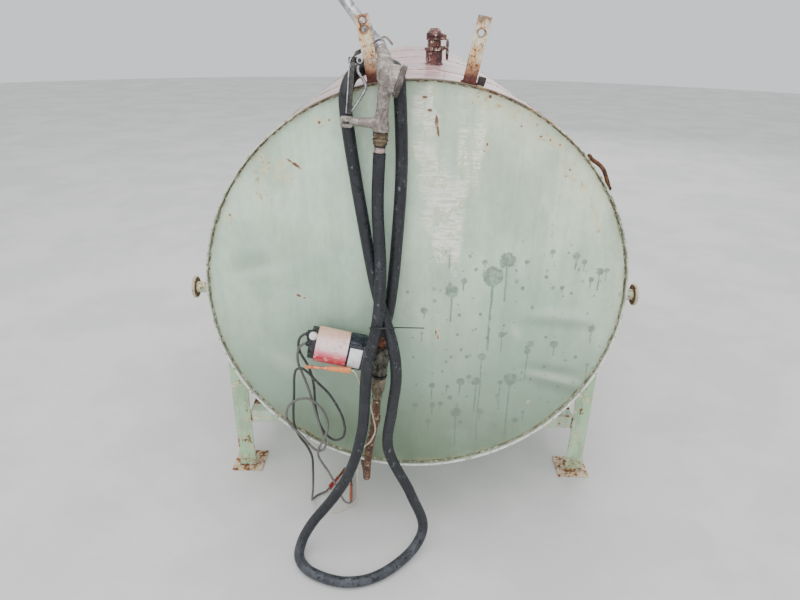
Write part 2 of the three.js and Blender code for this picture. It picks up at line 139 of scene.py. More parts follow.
class Look:
    """A material under construction: a Principled shader, and short calls that add nodes to it"""

    def __init__(self, name, roughness=0.5, metallic=0.0, coat=0.0):
        self.material = bpy.data.materials.new(name)
        self.material.use_nodes = True
        self.tree = self.material.node_tree
        self.shader = self.tree.nodes["Principled BSDF"]
        self.shader.inputs["Roughness"].default_value = roughness
        self.shader.inputs["Metallic"].default_value = metallic
        self.shader.inputs["Coat Weight"].default_value = coat
        self.place = self.tree.nodes.new("ShaderNodeTexCoord").outputs["Object"]
        self.height = None
        self.wobbles = {}

    def feed(self, socket, value):
        if isinstance(value, bpy.types.NodeSocket):
            self.tree.links.new(value, socket)
        else:
            socket.default_value = value

    def math(self, operation, first, second=0.0, clamp=False):
        node = self.tree.nodes.new("ShaderNodeMath")
        node.operation = operation
        node.use_clamp = clamp
        self.feed(node.inputs[0], first)
        self.feed(node.inputs[1], second)
        return node.outputs[0]

    def plus(self, first, second):
        return self.math("ADD", first, second)

    def minus(self, first, second):
        return self.math("SUBTRACT", first, second)

    def size_of(self, value):
        return self.math("ABSOLUTE", value)

    def length(self, first, second):
        """The length of the vector that has those two parts"""
        squares = self.plus(self.both(first, first), self.both(second, second))
        return self.math("SQRT", squares)

    def vector(self, operation, first, second=(0, 0, 0), output=0):
        node = self.tree.nodes.new("ShaderNodeVectorMath")
        node.operation = operation
        self.feed(node.inputs[0], first)
        self.feed(node.inputs[1], second)
        return node.outputs[output]

    def axes(self):
        """The frame's x, y and z at the shaded point, as three sockets"""
        node = self.tree.nodes.new("ShaderNodeSeparateXYZ")
        self.feed(node.inputs[0], self.place)
        return node.outputs[0], node.outputs[1], node.outputs[2]

    def noise(self, scale, detail=4.0, stretch=(1, 1, 1), rough=0.55, shift=0.0):
        """Noise with about scale patches per metre, drawn out along the axes where stretch is small"""
        node = self.tree.nodes.new("ShaderNodeTexNoise")
        node.inputs["Scale"].default_value = scale
        node.inputs["Detail"].default_value = detail
        node.inputs["Roughness"].default_value = rough
        moved = self.vector("ADD", self.place, (shift, shift * 0.7, shift * 1.3))
        self.feed(node.inputs["Vector"], self.vector("MULTIPLY", moved, stretch))
        return node.outputs["Fac"]

    def step(self, value, low, high):
        """0 below low, 1 above high and smooth between; low may be the larger one"""
        node = self.tree.nodes.new("ShaderNodeMapRange")
        node.interpolation_type = "SMOOTHSTEP"
        turned = low > high
        node.inputs["From Min"].default_value = min(low, high)
        node.inputs["From Max"].default_value = max(low, high)
        node.inputs["To Min"].default_value = 1 if turned else 0
        node.inputs["To Max"].default_value = 0 if turned else 1
        self.feed(node.inputs["Value"], value)
        return node.outputs["Result"]

    def band(self, value, low, high, soft):
        rise = self.step(value, low - soft, low + soft)
        return self.both(rise, self.step(value, high + soft, high - soft))

    def both(self, *masks):
        whole = masks[0]
        for mask in masks[1:]:
            whole = self.math("MULTIPLY", whole, mask)
        return whole

    def either(self, *masks):
        whole = masks[0]
        for mask in masks[1:]:
            whole = self.math("MAXIMUM", whole, mask)
        return whole

    def cover(self, share, scale, stretch=(1, 1, 1), rough=0.65, shift=0.0, soft=0.5):
        """1 on about that share of the surface, in patches of noise"""
        spread = 0.113 - 0.08 * rough
        edge = 0.5 + spread * NormalDist().inv_cdf(1 - share)
        value = self.noise(scale, 6, stretch, rough, shift)
        return self.step(value, edge - soft * spread, edge + soft * spread)

    def wobble(self, scale):
        """Noise from about -1 to 1, made once for each scale"""
        if scale not in self.wobbles:
            node = self.noise(scale, 5, rough=0.65)
            self.wobbles[scale] = self.both(self.minus(node, 0.5), 6.0)
        return self.wobbles[scale]

    def spot(self, centre, long, wide, tilt=0.0, ragged=0.25, scale=60, soft=0.15):
        """1 inside an upright oval of those half sizes, tilted by degrees, with an uneven edge"""
        apart = self.vector("SUBTRACT", self.place, centre)
        turn = math.radians(tilt)
        along = (math.cos(turn) / long, 0, math.sin(turn) / long)
        across = (-math.sin(turn) / wide, 0, math.cos(turn) / wide)
        first = self.vector("DOT_PRODUCT", apart, along, output=1)
        second = self.vector("DOT_PRODUCT", apart, across, output=1)
        reach = self.plus(self.length(first, second), self.both(self.wobble(scale), ragged))
        return self.step(reach, 1 + soft, 1 - soft)

    def edges(self, width=0.005):
        """1 near sharp edges"""
        rounded = self.tree.nodes.new("ShaderNodeBevel")
        rounded.samples = 4
        rounded.inputs["Radius"].default_value = width
        flat = self.tree.nodes.new("ShaderNodeNewGeometry").outputs["True Normal"]
        return self.step(self.vector("DOT_PRODUCT", rounded.outputs[0], flat, output=1), 0.985, 0.9)

    def from_axis(self):
        """Distance from the tank's axis"""
        apart = self.vector("SUBTRACT", self.place, at(0, 0, AXIS))
        return self.vector("LENGTH", self.vector("MULTIPLY", apart, (1, 0, 1)), output=1)

    def mix(self, share, under, over):
        node = self.tree.nodes.new("ShaderNodeMix")
        node.data_type = "RGBA"
        self.feed(node.inputs["Factor"], share)
        for name, tone in (("A", under), ("B", over)):
            self.feed(node.inputs[name], srgb(*tone) if isinstance(tone, tuple) else tone)
        return node.outputs["Result"]

    def level(self, share, under, over):
        """A number that goes from under to over as share goes from 0 to 1"""
        return self.plus(self.both(share, over - under), under)

    def color(self, value):
        self.tone = value
        self.feed(self.shader.inputs["Base Color"], value)

    def coat(self, over, *masks):
        """Lays a colour over what is there, where the masks multiply to a high share"""
        self.color(self.mix(self.both(*masks), self.tone, over))

    def roughness(self, value):
        self.feed(self.shader.inputs["Roughness"], value)

    def bump(self, height, depth):
        """Adds relief of about that many metres"""
        node = self.tree.nodes.new("ShaderNodeBump")
        node.inputs["Strength"].default_value = 1.0
        node.inputs["Distance"].default_value = depth
        self.feed(node.inputs["Height"], height)
        if self.height is not None:
            self.feed(node.inputs["Normal"], self.height)
        self.height = node.outputs["Normal"]
        self.feed(self.shader.inputs["Normal"], self.height)


# Routes of the cords, from the object along each cord
def along_grip(height):
    """A point on the line shared by the nozzle's grip, the swivel and the hose's first stretch"""
    drop = 1227 - height
    return (-89.8 - drop / 16, -43 + drop / 48, height)


STACK_TOP = (-86.5, -38, 705)
STACK_FOOT = (-101, -38, 508)


def down_stack(height):
    """A point on the axis of the fittings below the pump's outlet"""
    share = (STACK_TOP[2] - height) / (STACK_TOP[2] - STACK_FOOT[2])
    return (STACK_TOP[0] + share * (STACK_FOOT[0] - STACK_TOP[0]), STACK_TOP[1], height)


HOSE_ROUTE = [
    along_grip(1179.2), along_grip(1155), (-98, -31, 1050), (-90, -58, 880),
    (-97, -89, 768), (-122, -106, 650), (-140, -93, 432), (-178, -94, 290),
    (-222, -96, 205), (-295, -101, 98), (-323, -114, 43), (-327, -146, 21), (-296, -190, 16.5),
    (-190, -229, 15.8), (-95, -208, 16.5), (8, -124, 34), (37, -86, 80), (-2, -87, 212),
    (-68, -82, 370), (-58, -86, 505), (-48, -91, 605), (-55, -91, 690), (-74, -68, 752),
    (-98, -43, 822), (-130, -21, 985), (-171, -19.3, 1285), (-168, -17.3, 1314), (-156, 1, 1342),
    (-136, 23.5, 1354.5), (-108, 32, 1362), (-80, 25, 1362), (-59.5, 2, 1360), (-51.5, -15, 1345),
    (-48.5, -20, 1315), (-42, -18, 1150),
    (-49, -18, 988), (-62, -23, 830), (-75, -33.5, 750), down_stack(722), down_stack(705.6),
]
BLACK_ROUTE = [
    (-284.4, -34, 702), (-291, -34, 702), (-304, -36.5, 692), (-309, -41, 674), (-304, -44, 650),
    (-291, -44, 622), (-281, -40, 590), (-276, -30, 540), (-275, -24, 460), (-266, -24, 405),
    (-248, -24, 368), (-224, -24, 350), (-202, -24, 360), (-195, -24, 385), (-199, -24, 425),
    (-210, -26, 460), (-234, -34, 515), (-260, -52, 562), (-277, -68, 598), (-286, -79, 616.5),
    (-296.5, -85, 628), (-309.5, -83.5, 623), (-316, -76, 607), (-321, -66, 586), (-327, -48, 545),
    (-331, -38, 510), (-338, -30, 450), (-338, -28, 402), (-325, -30, 365), (-305, -34, 335),
    (-292, -36, 300), (-293, -26, 240), (-303, 10, 140), (-318, 60, 45), (-323, 92, 14),
    (-314, 118, 5.5), (-297, 132, 5.5), (-283, 136, 10), (-276.8, 143.6, 13), (-273.4, 151, 13),
]
GREY_ROUTE = [
    (-284.4, -46, 680), (-291, -46, 680), (-304, -49, 672), (-310, -53, 654), (-310, -54, 625),
    (-304, -50, 598), (-297, -42, 565), (-288.6, -38, 529.5), (-275, -38, 463.5), (-262, -38, 400),
    (-252, -38, 368), (-249, -39.5, 345), (-257, -41, 328), (-273, -43, 326), (-289, -44.5, 340),
    (-304, -45.5, 362), (-321, -46, 387), (-343, -46, 413), (-355, -46, 447), (-346, -47, 481),
    (-321, -47, 503), (-289, -48, 507), (-261, -48, 484), (-243, -48, 448), (-240, -49, 410),
    (-250, -51, 378), (-264, -53, 350), (-271, -52, 322), (-265, -44, 290), (-250, -26, 240),
    (-228, 20, 130), (-212, 54, 46), (-200, 74, 19), (-195.3, 86, 13), (-195.9, 95, 13),
]
WHITE_ROUTE = [
    (-165.5, -86, 624), (-159, -86.5, 622.5), (-150, -87, 606), (-140, -76, 565), (-121, -70, 515),
    (-110, -66, 460), (-105, -63, 416), (-120, -60, 375), (-140, -50, 345), (-153, -38, 300),
    (-161, -18, 240), (-166, 30, 135), (-173, 70, 40), (-192, 78, 6), (-222, 55, 4),
    (-256, 45, 4),
]


def smooth_route(points, step):
    """Points about step millimetres apart, on the curve that part.mjs sweeps its cords along"""
    given = [Vector(p) for p in points]
    given = [given[0] * 2 - given[1], *given, given[-1] * 2 - given[-2]]
    route = []
    for a, b, c, d in zip(given, given[1:], given[2:], given[3:]):
        tb = (b - a).length ** 0.5
        tc = tb + (c - b).length ** 0.5
        td = tc + (d - c).length ** 0.5
        count = max(1, round((c - b).length / step))
        for i in range(count):
            t = tb + (tc - tb) * i / count
            ab = a.lerp(b, t / tb)
            bc = b.lerp(c, (t - tb) / (tc - tb))
            cd = c.lerp(d, (t - tc) / (td - tc))
            abc = ab.lerp(bc, t / tc)
            bcd = bc.lerp(cd, (t - tb) / (td - tb))
            route.append(abc.lerp(bcd, (t - tb) / (tc - tb)))
    route.append(given[-2])
    return [at(*p) for p in route]


# Meshes
def make_piece(name, bm, looks, body="tank", replaces=(), crease=35):
    """Turns a bmesh into a named piece that rides on a body, in one look or a list of them"""
    bmesh.ops.recalc_face_normals(bm, faces=bm.faces)
    mesh = bpy.data.meshes.new(name)
    bm.to_mesh(mesh)
    bm.free()
    mesh.shade_smooth()
    mesh.set_sharp_from_angle(angle=math.radians(crease))
    piece = bpy.data.objects.new(name, mesh)
    bpy.context.scene.collection.objects.link(piece)
    for look in looks if isinstance(looks, list) else [looks]:
        mesh.materials.append(look.material)
    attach(piece, body)
    if replaces:
        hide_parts(*replaces)
    return piece


def turns_of(count):
    """Angles that divide a full turn"""
    return [2 * math.pi * i / count for i in range(count)]


def join_rings(bm, first, second):
    """Faces between two rings of as many vertices, or between a ring and a single vertex"""
    count = max(len(first), len(second))
    for i in range(count):
        corners = [first[i % len(first)], first[(i + 1) % len(first)]]
        corners += [second[(i + 1) % len(second)], second[i % len(second)]]
        bm.faces.new(list(dict.fromkeys(corners)))


def loft(bm, rings):
    """Faces through a row of rings, closed at both ends"""
    for first, second in zip(rings, rings[1:]):
        join_rings(bm, first, second)
    for ring in (rings[0], rings[-1]):
        if len(ring) > 1:
            bm.faces.new(ring)


def hoop(bm, rings):
    """Faces through a row of rings that ends where it starts"""
    for first, second in zip(rings, [*rings[1:], rings[0]]):
        join_rings(bm, first, second)


def turned(bm, start, end, profile, sides=40):
    """A turned solid: pairs of distance from start towards end and radius, both in millimetres"""
    axis = (end - start).normalized()
    side = axis.orthogonal().normalized()
    other = axis.cross(side)
    rings = []
    for distance, radius in profile:
        middle = start + axis * distance * MM
        ring = []
        for angle in turns_of(sides) if radius else [0]:
            spoke = side * math.cos(angle) + other * math.sin(angle)
            ring.append(bm.verts.new(middle + spoke * radius * MM))
        rings.append(ring)
    loft(bm, rings)


def chamfered(length, radius, edge):
    """The profile of a plain bar with its edges taken off"""
    return [(0, radius - edge), (edge, radius), (length - edge, radius), (length, radius - edge)]


def tube(bm, points, radius, sides=16):
    """A bar along points; radius is in millimetres, a number or a function of the share along"""
    reach = radius if callable(radius) else lambda share: radius
    ahead = (points[1] - points[0]).normalized()
    side = ahead.orthogonal().normalized()
    rings = []
    for i, point in enumerate(points):
        ahead = (points[min(i + 1, len(points) - 1)] - points[max(i - 1, 0)]).normalized()
        side = (side - ahead * side.dot(ahead)).normalized()
        other = ahead.cross(side)
        size = reach(i / (len(points) - 1)) * MM
        spokes = [side * math.cos(t) + other * math.sin(t) for t in turns_of(sides)]
        rings.append([bm.verts.new(point + spoke * size) for spoke in spokes])
    loft(bm, rings)


def box(bm, low, high, edge=1.0, place=None):
    """A block between two corners with its edges rounded, then moved by a matrix"""
    made = bmesh.new()
    bmesh.ops.create_cube(made, size=1)
    size = Vector([abs(b - a) for a, b in zip(low, high)])
    fit = Matrix.Translation((low + high) / 2) @ Matrix.Diagonal((*size, 1))
    bmesh.ops.transform(made, matrix=fit, verts=made.verts)
    if edge:
        bmesh.ops.bevel(made, geom=made.edges[:], offset=edge * MM, segments=2, profile=0.6, affect="EDGES")
    add_mesh(bm, made, place)


def add_mesh(bm, made, place=None):
    if place is not None:
        bmesh.ops.transform(made, matrix=place, verts=made.verts)
    mesh = bpy.data.meshes.new("made")
    made.to_mesh(mesh)
    made.free()
    bm.from_mesh(mesh)
    bpy.data.meshes.remove(mesh)


def roughen(bm, depth, scale, seed=0.0):
    """Moves each vertex along its normal by up to depth millimetres, in lumps of 1/scale metres"""
    bm.normal_update()
    shift = Vector((seed, seed * 1.7, -seed))
    for vertex in bm.verts:
        vertex.co += vertex.normal * noise.noise(vertex.co * scale + shift) * depth * MM


def weld_bead(bm, points, radius, ripple=6.0):
    """A lumpy bead along points; ripple is the spacing of its waves in millimetres"""
    length = sum((b - a).length for a, b in zip(points, points[1:])) / MM
    seed = points[0] * 37

    def size(share):
        wave = 0.12 * math.sin(2 * math.pi * share * length / ripple)
        return radius * (1 + wave + 0.35 * noise.noise(seed + Vector((share * length / 14, 0, 0))))

    tube(bm, points, size, 8)


def line(start, end, step=3):
    """Points from one place to another, step millimetres apart"""
    count = max(2, round((end - start).length / MM / step))
    return [start.lerp(end, i / count) for i in range(count + 1)]


def baked(bm, voxel, smooth, name="form"):
    """One closed skin around everything in a bmesh, softened where its shapes meet"""
    mesh = bpy.data.meshes.new(name)
    bm.to_mesh(mesh)
    bm.free()
    form = bpy.data.objects.new(name, mesh)
    bpy.context.scene.collection.objects.link(form)
    remesh = form.modifiers.new("remesh", "REMESH")
    remesh.mode = "VOXEL"
    remesh.voxel_size = voxel * MM
    soften = form.modifiers.new("soften", "SMOOTH")
    soften.factor = 0.5
    soften.iterations = smooth
    graph = bpy.context.evaluated_depsgraph_get()
    result = bmesh.new()
    result.from_mesh(form.evaluated_get(graph).to_mesh())
    bpy.data.objects.remove(form)
    bpy.data.meshes.remove(mesh)
    return result


def softened(name, nodes, look, edge=1.0):
    """Copies of CAD nodes as one piece, with rounded edges"""
    bm = bmesh.new()
    for node in nodes:
        bm.from_mesh(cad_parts[node].data)
    bmesh.ops.remove_doubles(bm, verts=bm.verts, dist=1e-6)
    bmesh.ops.dissolve_limit(bm, angle_limit=math.radians(1), verts=bm.verts, edges=bm.edges)
    sharp = [e for e in bm.edges if len(e.link_faces) == 2 and e.calc_face_angle() > 0.6]
    bmesh.ops.bevel(bm, geom=sharp, offset=edge * MM, segments=2, profile=0.6, affect="EDGES",
                    clamp_overlap=True)
    return make_piece(name, bm, look, replaces=nodes)


# Looks
def old_paint(name, paint, rust=0.05, chips=0.06, under=CREAM, scale=1.0, shift=0.0, base=False):
    """Hand-painted steel: patchy colour, chips down to primer, rust in the chips and run marks"""
    look = Look(name)
    look.color(look.mix(look.level(look.cover(0.5, 9 * scale, shift=shift, soft=1.5), 0.0, 0.2), paint,
                        OFF_WHITE))
    grime = look.cover(0.3, 24 * scale, (1, 1, 0.3), 0.7, shift, 1.2)
    look.coat((128, 130, 106), grime, 0.35)
    edges = look.both(look.edges(), look.cover(0.4, 60, rough=0.72, shift=shift + 17))
    bare = look.either(look.cover(chips, 42 * scale, (1, 1, 0.8), 0.72, shift + 3, 0.3), edges)
    look.coat(under, bare)
    halo = look.cover(rust * 1.8, 30 * scale, (1, 1, 0.6), 0.75, shift + 8, 0.8)
    rusty = look.cover(rust, 30 * scale, (1, 1, 0.6), 0.75, shift + 8, 0.4)
    rusty = look.either(rusty, look.both(edges, look.cover(0.2, 70, rough=0.75, shift=shift + 5)))
    if base:
        foot = look.step(look.plus(look.axes()[2], look.both(look.wobble(30), 0.02)), 0.075, 0.02)
        foot = look.both(foot, look.cover(0.7, 55, rough=0.75, shift=shift + 2))
        halo = look.either(halo, foot)
        rusty = look.either(rusty, look.both(foot, look.cover(0.6, 80, rough=0.75, shift=shift + 6)))
    look.coat(OCHRE, halo, 0.45)
    look.coat(look.mix(look.cover(0.5, 150, soft=1), BROWN_RUST, ORANGE_RUST), rusty)
    look.roughness(look.level(look.either(bare, rusty), 0.42, 0.85))
    look.bump(look.minus(look.both(rusty, 0.6), bare), 0.0005)
    look.bump(look.noise(300, 3), 0.0002)
    return look


def rusted(name, light=ORANGE_RUST, dark=BROWN_RUST, roughness=0.85, wet=0.0, flakes=0.0):
    """Steel rusted all over, in scaly patches of two browns, with pale flakes of old paint"""
    look = Look(name, roughness, 0.1, wet)
    look.color(look.mix(look.cover(0.5, 42, rough=0.72, soft=0.8), dark, light))
    look.coat(DARK_RUST, look.cover(0.3, 190, rough=0.7, soft=0.8), 0.6)
    if flakes:
        look.coat((206, 196, 172), look.cover(flakes, 75, rough=0.75, shift=5, soft=0.3))
    look.bump(look.noise(180, 8, rough=0.75), 0.0012)
    return look


def cast_metal(name, color, worn, roughness=0.45, metallic=0.75, grain=420, dirt=0.3, flecks=0.0):
    """Sand-cast metal with dirt in its hollows and rubbed high spots"""
    look = Look(name, roughness, metallic)
    look.color(look.mix(look.cover(0.45, 42, soft=1.2), color, worn))
    look.coat((70, 62, 56), look.cover(dirt, 130, rough=0.72, soft=1.2), 0.45)
    if flecks:
        look.coat((226, 222, 214), look.cover(flecks, 110, rough=0.75, shift=9), 0.7)
    look.roughness(look.level(look.cover(0.5, 90, soft=1.5), roughness - 0.12, roughness + 0.2))
    look.bump(look.noise(grain, 4, rough=0.6), 0.0005)
    look.bump(look.noise(60, 3), 0.0009)
    return look


def rubber(name, color, dusty, dust_top=0.12, marks=0.07):
    """Black rubber: streaks of dust, dark wet beads and pale scuffs, paler where it lies on the ground"""
    look = Look(name, 0.5)
    lying = look.step(look.axes()[2], dust_top, 0.02)
    patch = look.cover(0.35, 30, (1, 1, 0.4), soft=1.4)
    look.color(look.mix(look.both(patch, look.level(lying, 0.1, 0.6)), color, dusty))
    look.coat(dusty, lying, 0.3)
    wet = look.cover(marks, 85, (1, 1, 0.7), 0.6, 4, 0.3)
    look.coat((16, 17, 22), wet, 0.75)
    fleck = look.both(look.cover(0.018, 120, (1, 1, 0.6), 0.75, 7, 0.4), look.cover(0.4, 11, shift=2))
    look.coat((140, 144, 150), fleck, 0.5)
    look.roughness(look.level(wet, 0.52, 0.2))
    look.bump(wet, 0.0004)
    look.bump(look.noise(500, 3), 0.00015)
    return look


def plastic(name, color, worn, roughness=0.4, wear=0.2):
    look = Look(name, roughness)
    look.color(look.mix(look.both(look.cover(0.5, 40, soft=1.5), 0.35), color, worn))
    look.coat(worn, look.cover(wear, 95, rough=0.72, shift=3), 0.7)
    look.roughness(look.level(look.cover(0.5, 120, soft=1.5), roughness - 0.1, roughness + 0.2))
    look.bump(look.noise(700, 2), 0.0001)
    return look


def head_place(x, z):
    return at(x, HEAD_INSET, z)


# Marks on the front head, in millimetres: drips as x, z, radius and length of the run below
DRIPS = [
    (233, 902, 18, 116), (199, 857, 22, 220), (94, 815, 15, 91), (124, 844, 7, 28), (23, 756, 8, 24),
    (316, 658, 8, 0), (311, 636, 8, 94), (271, 545, 16, 212), (244, 534, 6, 84), (176, 536, 11, 106),
    (187, 618, 9, 287), (131, 535, 9, 47), (125, 429, 13, 126), (194, 434, 9, 31), (138, 394, 6, 0),
    (236, 687, 8, 56), (381, 659, 9, 37), (477, 708, 9, 43), (409, 916, 8, 38), (474, 874, 9, 54),
    (491, 879, 6, 33), (454, 851, 6, 23), (382, 827, 5, 12), (298, 405, 8, 0), (105, 480, 6, 0),
    (52, 520, 8, 51), (480, 595, 5, 62), (175, 896, 6, 17), (283, 898, 5, 11), (346, 926, 6, 16),
    (431, 900, 6, 27), (19, 686, 4, 25), (154, 620, 4, 0), (95, 517, 5, 20), (6, 451, 7, 25),
    (55, 455, 7, 35), (318, 434, 5, 28), (84, 921, 9, 44), (155, 552, 6, 26), (45, 396, 7, 33),
    (78, 459, 6, 24), (239, 490, 5, 17),
]
# Scratches down to rust: x, z, half length, half width and tilt
SCARS = [
    (-303, 1141, 21, 2.4, -36), (-297, 1137, 10, 4, -38), (38, 1242, 4, 16, 4), (42, 1222, 3, 14, 8),
    (-237, 1238, 3, 4, 0), (-213, 1243, 2, 2, 0), (-309, 792, 6, 3, -25), (-295, 786, 3, 2, -20),
    (158, 1300, 3.5, 3.5, 0), (9, 1297, 6, 3, 0), (21, 1269, 5, 3, 0), (57, 692, 2, 8, 0), (63, 676, 2, 6, 0),
    (306, 1205, 3, 2, 0), (331, 1194, 2, 2, 0), (159, 1194, 2, 4, 0), (153, 1178, 2, 2, 0),
    (236, 1236, 2, 2, 0), (284, 1213, 3, 2, 0), (362, 1136, 2, 3, 0), (330, 470, 2, 2, 0),
    (-470, 1010, 2, 3, 0),
]
# Whitish patches of scuffing: x, z, half width and half height
SCUFFS = [(16, 1268, 32, 56), (4, 1178, 26, 26), (39, 1110, 38, 78), (60, 1029, 50, 84), (60, 950, 24, 62),
          (104, 1120, 16, 130), (98, 980, 14, 110), (140, 1180, 14, 90)]
# Cream and tan stains: x, z, half width, half height and tilt
STAINS = [
    (-372, 1140, 22, 34, 20), (-388, 1085, 14, 46, 10), (-330, 1120, 26, 30, 0), (-471, 999, 8, 16, 0),
    (-237, 1240, 14, 12, 0), (290, 1212, 30, 10, -18), (322, 1196, 26, 10, -30), (362, 1130, 16, 28, 24),
    (404, 1090, 10, 18, 20), (158, 1188, 7, 20, 0), (204, 1240, 10, 9, 0), (150, 1292, 50, 16, -8),
    (230, 1262, 60, 12, -20), (60, 690, 7, 18, 0), (-150, 1316, 50, 8, 14), (440, 1020, 8, 40, 20),
]


# Painted highlights and painted shade in sweeps over the dents of the front head: x, z, half length, half
# width, tilt and whether it is a highlight
PAINTED_DENT_LIGHTS = [
    (395, 752, 90, 16, -4, True), (385, 722, 90, 15, -4, False), (386, 580, 76, 13, -8, False),
    (396, 552, 76, 11, -12, True), (402, 520, 82, 15, -17, False), (498, 700, 14, 50, 10, True),
    (272, 696, 26, 12, -60, True), (-430, 890, 46, 22, 14, False), (-400, 860, 70, 14, 16, True),
    (-330, 560, 90, 24, -38, True), (-290, 520, 90, 20, -38, False),
]
# Parts of the front head, each with a material for its own marks: left and right edge, bottom and top
HEAD_PARTS = [(-560, 0, 200, 1400), (0, 560, 780, 1400), (0, 560, 200, 780)]
HEAD_OVERLAP = 30


def head_look(name, part=None):
    """Sage paint on a flat head, painted lighter towards the top and darker towards the bottom as light and
    shade, with the drips, scuffs, chips and stains and the painted dent highlights and shade of one part of
    the front head
    """
    look = Look(name, 0.45)

    def near(mark_x, mark_z, wide, up, down):
        left, right, bottom, top = part
        across = left - HEAD_OVERLAP - wide < mark_x < right + HEAD_OVERLAP + wide
        return across and bottom - HEAD_OVERLAP - up < mark_z < top + HEAD_OVERLAP + down

    x, z = look.axes()[::2]
    # Painted light and shade: the paint is coloured lighter towards the top and darker towards the bottom, as
    # light falls from above
    painted_light_from_above = look.step(z, 250 * MM, 1080 * MM)
    look.color(look.mix(painted_light_from_above, (112, 130, 106), (208, 238, 214)))
    warm = look.step(look.plus(look.both(x, 0.7), z), 1.0, 1.5)
    look.coat((236, 242, 212), warm, 0.8)
    # Pale patches on the upper part, fading out lower down: a painted sheen
    look.coat((224, 236, 212), look.cover(0.45, 3.6, (1, 1, 0.8), 0.55, soft=1.6), painted_light_from_above, 0.5)
    look.coat((150, 180, 158), look.cover(0.35, 5, (1, 1, 0.8), 0.6, 21, 1.6), 0.4)
    look.coat((140, 156, 138), look.cover(0.4, 60, (1, 1, 0.5), 0.7, soft=1.3), 0.12)
    look.coat((134, 152, 134), look.cover(0.25, 26, (1, 1, 0.06), 0.6, 2, 1.2), 0.14)
    edge = look.plus(look.from_axis(), look.both(look.wobble(26), 0.003))
    dirt = look.both(look.step(edge, 0.524, 0.545), look.cover(0.5, 34, soft=1), 0.4)
    look.coat((176, 164, 126), dirt)
    wet = look.both(look.step(edge, 0.5395, 0.5425), look.cover(0.6, 18, soft=1))
    look.coat((96, 76, 52), wet, 0.7)
    relief = look.both(wet, -0.4)
    gloss = wet
    if part:
        fine, coarse = look.wobble(80), look.wobble(20)
        drips = 0.0
        for dx, dz, radius, length in DRIPS:
            if not near(dx, dz, radius, radius, length):
                continue
            across = look.minus(x, dx * MM)
            down = look.minus(z, dz * MM)
            flat = look.plus(look.both(across, across), look.both(down, down))
            flat = look.plus(flat, look.both(coarse, (radius * 0.5 * MM) ** 2))
            reach = look.plus(look.math("SQRT", look.size_of(flat)), look.both(fine, radius * 0.2 * MM))
            mark = look.step(reach, (radius * 1.2 + 2) * MM, (radius * 1.2 - 2) * MM)
            if length:
                side = look.size_of(look.plus(across, look.both(coarse, 0.0016)))
                side = look.plus(side, look.both(fine, 0.0006))
                width = (1.1 + radius * 0.09) * MM
                run = look.step(side, width + 0.001, width - 0.001)
                mark = look.either(mark, look.both(run, look.band(down, -length * MM, 0.0, 0.004)))
            drips = look.either(drips, mark)
        small = look.tree.nodes.new("ShaderNodeTexVoronoi")
        small.inputs["Scale"].default_value = 58
        look.feed(small.inputs["Vector"], look.vector("MULTIPLY", look.place, (1, 0.02, 0.85)))
        random_size = look.math("FRACT", look.both(small.outputs["Color"], 9.0))
        size = look.both(look.math("POWER", random_size, 2.1), 0.36)
        dot = look.step(look.minus(small.outputs["Distance"], size), 0.0, -0.04)
        area = look.spot(head_place(250, 690), 0.3, 0.28, 0, 0.3, 12, 0.3)
        drips = look.either(drips, look.both(dot, area))
        patchy = look.level(look.cover(0.6, 60, soft=1.5), 0.42, 0.78)
        look.coat((106, 124, 110), drips, patchy)
        gloss = look.either(gloss, drips)
        strokes = look.either(look.cover(0.38, 60, (0.3, 1, 3.0), 0.8, 4, 0.2),
                              look.cover(0.24, 110, (0.5, 1, 1.8), 0.8, 15, 0.2))
        brushed = look.cover(0.72, 24, (1.1, 1, 0.6), 0.72, 9, 0.5)
        zone = 0.0
        for sx, sz, wide, high in SCUFFS:
            if not near(sx, sz, wide, high, high):
                continue
            zone = look.either(zone, look.spot(head_place(sx, sz), wide * MM, high * MM, 0, 0.22, 20, 0.4))
        look.coat((228, 224, 190), zone, look.cover(0.6, 20, (1, 1, 1.6), 0.7, 3, 1), 0.55)
        look.coat((255, 254, 244), zone, brushed, strokes)
        # Painted dent highlights and painted dent shade, laid over the paint
        for sx, sz, long, wide, tilt, light in PAINTED_DENT_LIGHTS:
            if near(sx, sz, long + wide, long + wide, long + wide):
                painted_sweep = look.spot(head_place(sx, sz), long * MM, wide * MM, tilt, 0.1, 12, 0.8)
                look.coat((224, 236, 218) if light else (96, 112, 98), painted_sweep, 0.3)
        stain = 0.0
        for sx, sz, wide, high, tilt in STAINS:
            if not near(sx, sz, wide + high, wide + high, wide + high):
                continue
            mark = look.spot(head_place(sx, sz), wide * MM, high * MM, tilt, 0.3, 40, 0.5)
            stain = look.either(stain, mark)
        look.coat((226, 218, 180), stain, look.cover(0.55, 50, rough=0.75, soft=0.8), 0.7)
        look.coat((176, 132, 78), stain, look.cover(0.05, 80, rough=0.75, shift=6, soft=0.5), 0.8)
        for sx, sz, wide, high, tilt in SCARS:
            if not near(sx, sz, wide + high, wide + high, wide + high):
                continue
            place = head_place(sx, sz)
            halo = look.spot(place, (wide + 3) * MM, (high + 3) * MM, tilt, 0.3, 80, 0.4)
            core = look.spot(place, wide * MM, high * MM, tilt, 0.35, 80, 0.2)
            look.coat((226, 212, 178), halo, 0.6)
            look.coat((100, 58, 38), core, 0.9)
    look.roughness(look.level(gloss, 0.42, 0.28))
    look.bump(relief, 0.0008)
    look.bump(look.noise(12, 4, (1, 1, 0.6)), 0.003)
    look.bump(look.noise(240, 4), 0.00015)
    return look


